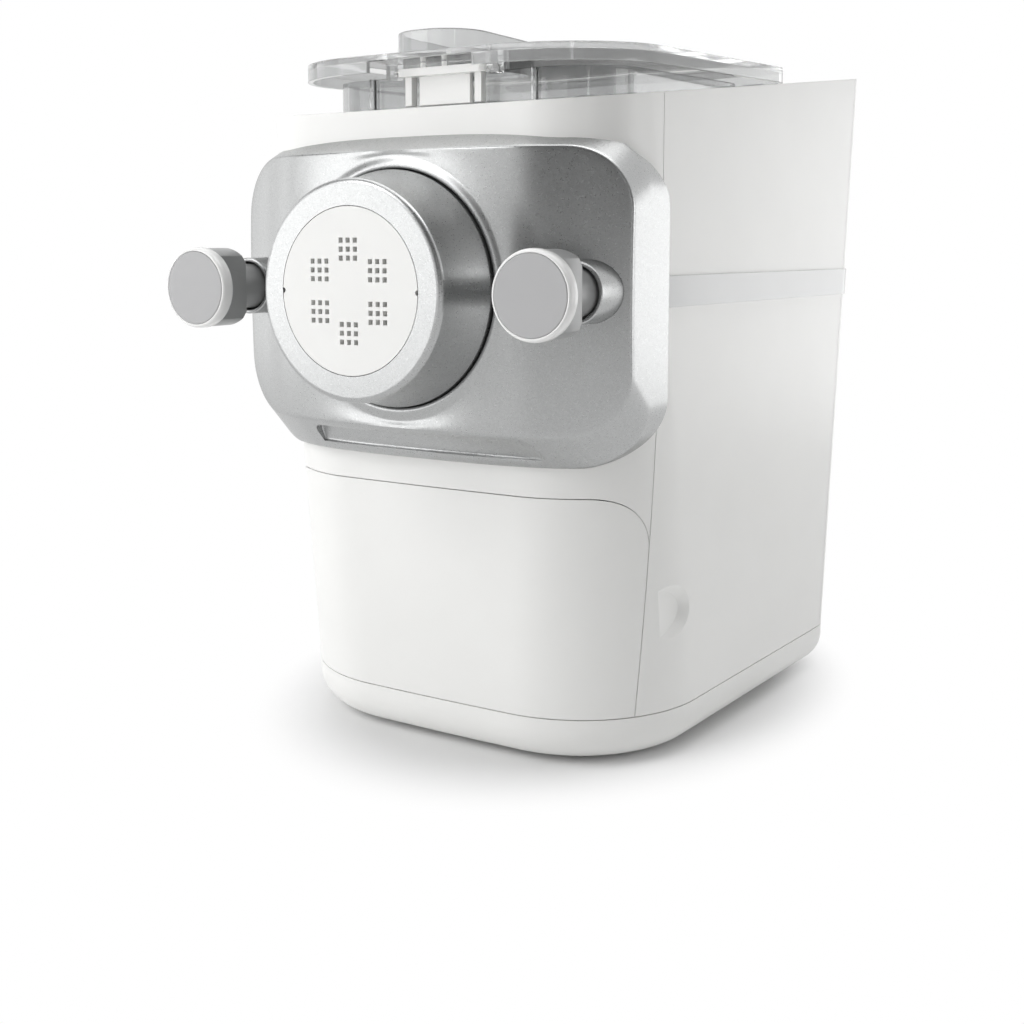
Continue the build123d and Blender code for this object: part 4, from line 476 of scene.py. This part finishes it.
def plan_setback(x):
    """Setback of the panel's face in plan: a smooth curve through its measured points."""
    x = abs(x)
    other_side = (-PLAN[1][0], PLAN[1][1])
    beyond = (2 * PLAN[3][0] - PLAN[2][0], 2 * PLAN[3][1] - PLAN[2][1])
    points = [other_side] + PLAN + [beyond]
    for before, start, end, after in zip(points, points[1:], points[2:], points[3:]):
        if x <= end[0] or end is PLAN[3]:
            width = end[0] - start[0]
            part = (x - start[0]) / width
            rise = end[1] - start[1]
            first = (end[1] - before[1]) / (end[0] - before[0]) * width
            last = (after[1] - start[1]) / (after[0] - start[0]) * width
            squared = 3 * rise - 2 * first - last
            cubed = first + last - 2 * rise
            return start[1] + part * (first + part * (squared + part * cubed))


def face_point(x, z):
    """Point of the panel's face away from the nut."""
    middle = (FACE_LOW + FACE_HIGH) / 2
    return (x, plan_setback(x) + CROWN * ((z - middle) / CROWN_REACH) ** 2, z)


def rounded_loop(low, high, upper, lower, bottom):
    """Places of all spokes on a rounded rectangle seen from the front, right side first.

    Its corners have one radius at the top and another at the bottom."""
    x, upper_x, lower_x = PANEL_HALF, PANEL_HALF - upper, PANEL_HALF - lower
    upper_z, lower_z = high - upper, low + lower
    turns = [math.pi / 2 * k / CORNER_STEPS for k in range(CORNER_STEPS)]
    places = [(x, mix(lower_z, upper_z, k / SIDE_STEPS)) for k in range(SIDE_STEPS)]
    places += [(upper_x + upper * math.cos(t), upper_z + upper * math.sin(t)) for t in turns]
    places += [(mix(upper_x, -upper_x, k / TOP_STEPS), high) for k in range(TOP_STEPS)]
    places += [(-upper_x - upper * math.sin(t), upper_z + upper * math.cos(t)) for t in turns]
    places += [(-x, mix(upper_z, lower_z, k / SIDE_STEPS)) for k in range(SIDE_STEPS)]
    places += [(-lower_x - lower * math.cos(t), lower_z - lower * math.sin(t)) for t in turns]
    places += [(place, low) for place in bottom]
    places += [(lower_x + lower * math.sin(t), lower_z - lower * math.cos(t)) for t in turns]
    return places


def pocket_open(x):
    """How far the finger pocket is open at a place along it: 0 outside, 1 in its middle.

    It closes over a small arc at its left end and over a long one at its right end."""
    if not POCKET_LEFT <= x <= POCKET_RIGHT:
        return 0.0
    left = max(0.0, 1 - (x - POCKET_LEFT) / POCKET_LEFT_R)
    right = max(0.0, 1 - (POCKET_RIGHT - x) / POCKET_RIGHT_R)
    rim_width = math.hypot(EDGE_BACK, FACE_LOW - PANEL_LOW)
    rise = POCKET_LEFT_R / (POCKET_BOTTOM - POCKET_TOP) / rim_width
    return 1 - rise * (1 - math.sqrt(1 - left ** 2)) - (1 - math.sqrt(1 - right ** 2))


def rounding(before, corner, after, size, steps=4):
    """Points that round a corner off between two neighbours."""
    first = mix(corner, before, min(ROUNDING_MOST, size / math.dist(corner, before)))
    last = mix(corner, after, min(ROUNDING_MOST, size / math.dist(corner, after)))
    parts = [k / steps for k in range(steps + 1)]
    return [mix(mix(first, corner, p), mix(corner, last, p), p) for p in parts]


def lip_places(turn):
    """Points of a spoke on the lip: up the nut's bore, over the crest and down its foot."""
    def on_lip(radius, setback):
        return (radius * math.cos(turn), setback, AXIS_Z + radius * math.sin(turn))

    places = [on_lip(LIP_BORE, LIP_REAR), on_lip(LIP_BORE, (LIP_FRONT + LIP_REAR) / 2)]
    for k in range(LIP_STEPS + 1):
        bend = math.pi / 2 * k / LIP_STEPS
        radius = LIP_CREST - (LIP_CREST - LIP_BORE) * math.cos(bend)
        places.append(on_lip(radius, LIP_FRONT + LIP_DROP * (1 - math.sin(bend))))
    for k in range(1, FOOT_STEPS + 1):
        part = k / FOOT_STEPS
        setback = LIP_FRONT + LIP_FOOT * smooth_step(part)
        places.append(on_lip(mix(LIP_CREST, LIP_END, part), setback))
    return places


def face_places(foot, edge):
    """Points of a spoke on the face, from the lip's foot to the edge, closer near the lip.

    Where the edge is near, points that crowd it are left out and made up at the end."""
    length = math.dist(foot, edge)
    blend = min(LIP_BLEND, LIP_BLEND_MOST * length)
    sunk = foot[1] - face_point(foot[0], foot[2])[1]
    inner = []
    for k in range(1, FACE_STEPS):
        part = (k / FACE_STEPS) ** FACE_CROWDING
        x, z = mix(foot[0], edge[0], part), mix(foot[2], edge[2], part)
        level = face_point(x, z)[1] + sunk * (1 - smooth_step(part * length / blend))
        inner.append((x, level, z))
    clear = [p for p in inner if math.dist(p, edge) > EDGE_ROUND * EDGE_CLEAR or p is inner[0]]
    places = clear[:FACE_POINTS]
    while len(places) < FACE_POINTS:
        places.append(mix(places[-1], edge, FILL_STEP))
    return places


def spoke_places(face, rear, end, in_pocket):
    """All points of one spoke of the panel, from the nut's bore out and back to the cover."""
    places = lip_places(math.atan2(face[1] - AXIS_Z, face[0]))
    edge = face_point(*face)
    places += face_places(places[-1], edge)
    back = (rear[0], plan_setback(rear[0]) + CROWN + EDGE_BACK, rear[1])
    places += rounding(places[-1], edge, back, EDGE_ROUND)
    top, bottom = mix(edge, back, POCKET_TOP), mix(edge, back, POCKET_BOTTOM)
    roof, ledge = mix(top, bottom, 1 / 3), mix(top, bottom, 2 / 3)
    if in_pocket:
        opened = POCKET_BOTTOM - (POCKET_BOTTOM - POCKET_TOP) * in_pocket
        top = mix(edge, back, opened)
        along = (face[0] - POCKET_LEFT) / (POCKET_RIGHT - POCKET_LEFT)
        deep = mix(POCKET_DEEP, POCKET_SHALLOW, along) * in_pocket
        roof = tuple(t + deep * n for t, n in zip(top, POCKET_INWARD))
        ledge = tuple(t + POCKET_LEDGE * in_pocket * n for t, n in zip(bottom, POCKET_INWARD))
    places += rounding(places[-1], top, roof, POCKET_RIM_ROUND, POCKET_STEPS)
    places += rounding(top, roof, ledge, POCKET_ROUND, POCKET_STEPS)
    places += rounding(roof, ledge, bottom, POCKET_ROUND, POCKET_STEPS)
    places += rounding(ledge, bottom, back, POCKET_RIM_ROUND, POCKET_STEPS)
    last = (back[0], max(end, back[1] + RIM_SHORTEST), back[2])
    places += rounding(places[-1], back, last, EDGE_ROUND)
    return places + [mix(places[-1], last, (k + 1) / RIM_STEPS) for k in range(RIM_STEPS)]


def rear_setback(x, z):
    """Setback at which the panel's edge meets the cover behind it."""
    inward = mix((x, z), (0.0, AXIS_Z), SHELL / math.hypot(x, z - AXIS_Z))
    start = (inward[0] / 1000, DISC_FACE_Y, inward[1] / 1000)
    found, place, _, _ = nodes["front_cover"].ray_cast(start, (0, 1, 0))
    return min(PANEL_REAR, (place.y - DISC_FACE_Y) * 1000 - COVER_GAP) if found else PANEL_REAR


def eased(values, place):
    """Value of a ring at a place, drawn down early where its neighbours fall."""
    near = [values[(place + k) % len(values)] for k in range(-REAR_EASE, REAR_EASE + 1)]
    return min(values[place], sum(near) / len(near))


def extrude_to(piece, places):
    """Extrude the selected edges and set each new vertex on its spoke's next place."""
    bpy.ops.mesh.extrude_region()
    mesh = bmesh.from_edit_mesh(piece.data)
    spoke = mesh.verts.layers.int["spoke"]
    for vertex in mesh.verts:
        if vertex.select:
            vertex.co = mm_point(*places[vertex[spoke]])
    bmesh.update_edit_mesh(piece.data)


def finish_mesh():
    """Merge doubles and turn all faces outwards, then leave edit mode."""
    bpy.ops.mesh.select_all(action="SELECT")
    bpy.ops.mesh.remove_doubles(threshold=WELD)
    bpy.ops.mesh.normals_make_consistent(inside=False)
    bpy.ops.object.mode_set(mode="OBJECT")


def pick(piece):
    """Select one piece alone and make it active."""
    bpy.ops.object.select_all(action="DESELECT")
    piece.select_set(True)
    bpy.context.view_layer.objects.active = piece


def apply_modifier(piece, kind, name, **settings):
    """Add a modifier to a piece with its settings and apply it."""
    modifier = piece.modifiers.new(name, kind)
    for key, value in settings.items():
        setattr(modifier, key, value)
    pick(piece)
    bpy.ops.object.modifier_apply(modifier=name)


def shade(piece, degrees=30):
    """Smooth shading except over sharp edges."""
    pick(piece)
    bpy.ops.object.shade_smooth_by_angle(angle=math.radians(degrees))


# Along the lower edge the spokes stand close where the pocket's ends curve, and one stands
# just outside each end. Beyond the pocket they draw in at the back, whose corners are rounder.
face_inner, rear_inner = PANEL_HALF - FACE_CORNER, PANEL_HALF - REAR_CORNER_LOW
stretches = (
    (-face_inner, POCKET_LEFT - POCKET_OUTSIDE, 2.0),
    (POCKET_LEFT - POCKET_OUTSIDE, POCKET_LEFT, 0.5),
    (POCKET_LEFT, POCKET_LEFT + POCKET_LEFT_R, 0.5),
    (POCKET_LEFT + POCKET_LEFT_R, POCKET_RIGHT - POCKET_RIGHT_R, 2.0),
    (POCKET_RIGHT - POCKET_RIGHT_R, POCKET_RIGHT - POCKET_MARGIN, 1.0),
    (POCKET_RIGHT - POCKET_MARGIN, POCKET_RIGHT, 0.25),
    (POCKET_RIGHT + POCKET_OUTSIDE, face_inner, 2.0))
bottom_x = [x for start, end, spacing in stretches for x in evenly(start, end, spacing)]
straight = POCKET_RIGHT + POCKET_MARGIN
squeeze = (rear_inner - straight) / (face_inner - straight)
rear_x = [math.copysign(min(abs(x), straight + (abs(x) - straight) * squeeze), x)
          for x in bottom_x]
face_loop = rounded_loop(FACE_LOW, FACE_HIGH, FACE_CORNER, FACE_CORNER, bottom_x)
rear_loop = rounded_loop(PANEL_LOW, PANEL_HIGH, REAR_CORNER_TOP, REAR_CORNER_LOW, rear_x)
rear_ends = [rear_setback(x, z) for x, z in rear_loop]
first_low = 2 * SIDE_STEPS + 3 * CORNER_STEPS + TOP_STEPS
low_spokes = range(first_low, first_low + len(bottom_x))
spokes = []
for k, (face, rear) in enumerate(zip(face_loop, rear_loop)):
    in_pocket = pocket_open(face[0]) if k in low_spokes else 0.0
    spokes.append(spoke_places(face, rear, eased(rear_ends, k), in_pocket))

bpy.ops.object.select_all(action="DESELECT")
bpy.ops.mesh.primitive_circle_add(vertices=len(spokes), radius=LIP_BORE / 1000)
panel = bpy.context.object
panel.name = "front_panel_shell"
number = panel.data.attributes.new("spoke", "INT", "POINT")
number.data.foreach_set("value", range(len(spokes)))
for vertex, places in zip(panel.data.vertices, spokes):
    vertex.co = mm_point(*places[0])
bpy.ops.object.mode_set(mode="EDIT")
bpy.ops.mesh.select_all(action="SELECT")
for places in list(zip(*spokes))[1:]:
    extrude_to(panel, places)
finish_mesh()

# The faces turn outwards before the wall gets its thickness. Then the holes for the knobs'
# sleeves are drilled through it.
apply_modifier(panel, "SOLIDIFY", "wall", thickness=SHELL / 1000, offset=-1.0)
for side in (-1, 1):
    bpy.ops.object.select_all(action="DESELECT")
    bpy.ops.mesh.primitive_cylinder_add(
        vertices=DRILL_SIDES, radius=SLEEVE_HOLE_R / 1000, depth=DRILL_LENGTH / 1000,
        location=mm_point(side * KNOB_X, DRILL_SETBACK, AXIS_Z), rotation=(math.pi / 2, 0, 0))
    drill = bpy.context.object
    apply_modifier(
        panel, "BOOLEAN", "sleeve_hole", operation="DIFFERENCE", solver="EXACT", object=drill)
    bpy.data.objects.remove(drill)
shade(panel, degrees=40)
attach(panel, "front_panel")
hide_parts("front_plate", "lip_ring")
panel.data.materials.append(silver_paint)


# ---- Clamping knobs ----
# Two-shot mouldings: a satin grey face sunk in a glossy white rim, on a grey grip with two
# flats. The grip turns a steel rod, and its neck runs into a silver sleeve of the panel.

KNOB_R, KNOB_FACE_R, FACE_DEPTH = 18.4, 16.6, 2.2
FACE_GAP, FIT = 0.03, 0.05
RIM_FRONT, RIM_EASE, RIM_EASE_DEPTH = 0.05, 0.15, 0.4
RIM_CROWN_R, RIM_ROUND_DEPTH, CROWN_STEPS = 17.0, 2.8, 9
RIM_STRAIGHT_END, RIM_DEPTH, RIM_BORE_R = 4.9, 6.0, 14.6
RIM_TUCK_START, RIM_TUCK_DEPTH, RIM_TUCK = 0.25, 0.8, 0.7
GRIP_R, GRIP_HALF, GRIP_LENGTH, GRIP_CHAMFER, GRIP_EDGE = 18.0, 10.8, 22.5, 2.5, 0.7
NECK_R, NECK_END, ROD_HOLE_R = 10.4, 38.5, 4.03
SLEEVE_R, SLEEVE_BORE_R, SLEEVE_FRONT, SLEEVE_END = 13.3, 11.4, 35.0, 75.0
MOUTH_ROUND, MOUTH_MIDDLE = 0.6, 0.18
TURN_STEPS = 96


def turned(name, profile, x):
    """Closed ring round a knob's axis: a circle extruded along (radius, setback) points."""
    radius, setback = profile[0]
    bpy.ops.object.select_all(action="DESELECT")
    bpy.ops.mesh.primitive_circle_add(
        vertices=TURN_STEPS, radius=radius / 1000, location=mm_point(x, setback, AXIS_Z),
        rotation=(math.pi / 2, 0, 0))
    bpy.ops.object.transform_apply(location=True, rotation=True, scale=True)
    ring = bpy.context.object
    ring.name = name
    bpy.ops.object.mode_set(mode="EDIT")
    bpy.ops.mesh.select_all(action="SELECT")
    for (old_radius, old_setback), (radius, setback) in zip(profile, profile[1:] + profile[:1]):
        bpy.ops.mesh.extrude_region()
        bpy.ops.transform.resize(
            value=(radius / old_radius, 1, radius / old_radius),
            center_override=mm_point(x, old_setback, AXIS_Z))
        bpy.ops.transform.translate(value=(0, (setback - old_setback) / 1000, 0))
    finish_mesh()
    return ring


def cut_flat(piece, x, outward):
    """Cut a piece along an upright plane and close it, keeping the side towards its axis."""
    bpy.context.view_layer.objects.active = piece
    bpy.ops.object.mode_set(mode="EDIT")
    bpy.ops.mesh.select_all(action="SELECT")
    bpy.ops.mesh.bisect(
        plane_co=(x / 1000, 0, 0), plane_no=(outward, 0, 0), use_fill=True, clear_outer=True)
    finish_mesh()


# Satin grey faces scatter the light evenly, smoother grey grips show it as a soft streak,
# and the rims and the lid's latch are glossy white. The grain is drawn at 0.6 to 1 mm so
# that it shows.
face_grey = eroded_plastic("grey_abs_satin", "#B2B2B3", "#ABABAC", 0.6, 0.4)
grip_grey = eroded_plastic("grey_abs_glossy", "#9A9B9B", "#939494", 1.0, 0.32)
trim_white = eroded_plastic("white_abs_glossy", "#F2F2F1", "#EDEDEC", 1.0, 0.16)
dress(face_grey, "knob_cap_left", "knob_cap_right")
dress(trim_white, "lid_latch", "latch_pins")

rim_profile = [(KNOB_FACE_R + FACE_GAP, FACE_DEPTH), (KNOB_FACE_R + FACE_GAP, RIM_EASE_DEPTH),
               (KNOB_FACE_R + RIM_EASE, RIM_EASE)]
for k in range(CROWN_STEPS + 1):
    bend = math.pi / (2 * CROWN_STEPS) * k
    rim_profile.append((
        RIM_CROWN_R + (KNOB_R - RIM_CROWN_R) * math.sin(bend),
        RIM_FRONT + (RIM_ROUND_DEPTH - RIM_FRONT) * (1 - math.cos(bend))))
rim_profile += [(KNOB_R, RIM_STRAIGHT_END),
                (KNOB_R - RIM_TUCK_START, RIM_STRAIGHT_END + RIM_TUCK_DEPTH),
                (KNOB_R - RIM_TUCK, RIM_DEPTH), (RIM_BORE_R, RIM_DEPTH),
                (RIM_BORE_R, FACE_DEPTH)]
grip_profile = [(RIM_BORE_R - FIT, FACE_DEPTH + FIT), (RIM_BORE_R - FIT, RIM_DEPTH + FIT),
                (GRIP_R, RIM_DEPTH + FIT), (GRIP_R, GRIP_LENGTH - GRIP_CHAMFER),
                (GRIP_R - GRIP_CHAMFER, GRIP_LENGTH), (NECK_R, GRIP_LENGTH),
                (NECK_R, NECK_END), (ROD_HOLE_R, NECK_END), (ROD_HOLE_R, FACE_DEPTH + FIT)]
sleeve_profile = [(SLEEVE_BORE_R, SLEEVE_END), (SLEEVE_BORE_R, SLEEVE_FRONT + MOUTH_ROUND),
                  (SLEEVE_BORE_R + MOUTH_MIDDLE, SLEEVE_FRONT + MOUTH_MIDDLE),
                  (SLEEVE_BORE_R + MOUTH_ROUND, SLEEVE_FRONT),
                  (SLEEVE_R - MOUTH_ROUND, SLEEVE_FRONT),
                  (SLEEVE_R - MOUTH_MIDDLE, SLEEVE_FRONT + MOUTH_MIDDLE),
                  (SLEEVE_R, SLEEVE_FRONT + MOUTH_ROUND), (SLEEVE_R, SLEEVE_END)]
for side, x in (("left", -KNOB_X), ("right", KNOB_X)):
    rim = turned("knob_white_rim_" + side, rim_profile, x)
    shade(rim, degrees=40)
    grip = turned("knob_grip_" + side, grip_profile, x)
    cut_flat(grip, x - GRIP_HALF, -1)
    cut_flat(grip, x + GRIP_HALF, 1)
    apply_modifier(
        grip, "BEVEL", "soft_edges", width=GRIP_EDGE / 1000, segments=3, limit_method="ANGLE")
    shade(grip)
    sleeve = turned("knob_tube_" + side, sleeve_profile, x)
    shade(sleeve, degrees=50)
    for piece, material, node, body, slot in (
            (rim, trim_white, "knob_rim_", "knob_" + side, "white_trim"),
            (grip, grip_grey, "knob_body_", "knob_" + side, "grey_knob"),
            (sleeve, silver_paint, "knob_sleeve_", "front_panel", "silver_paint")):
        piece.data.materials.append(material)
        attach(piece, body)
        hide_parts(node + side)
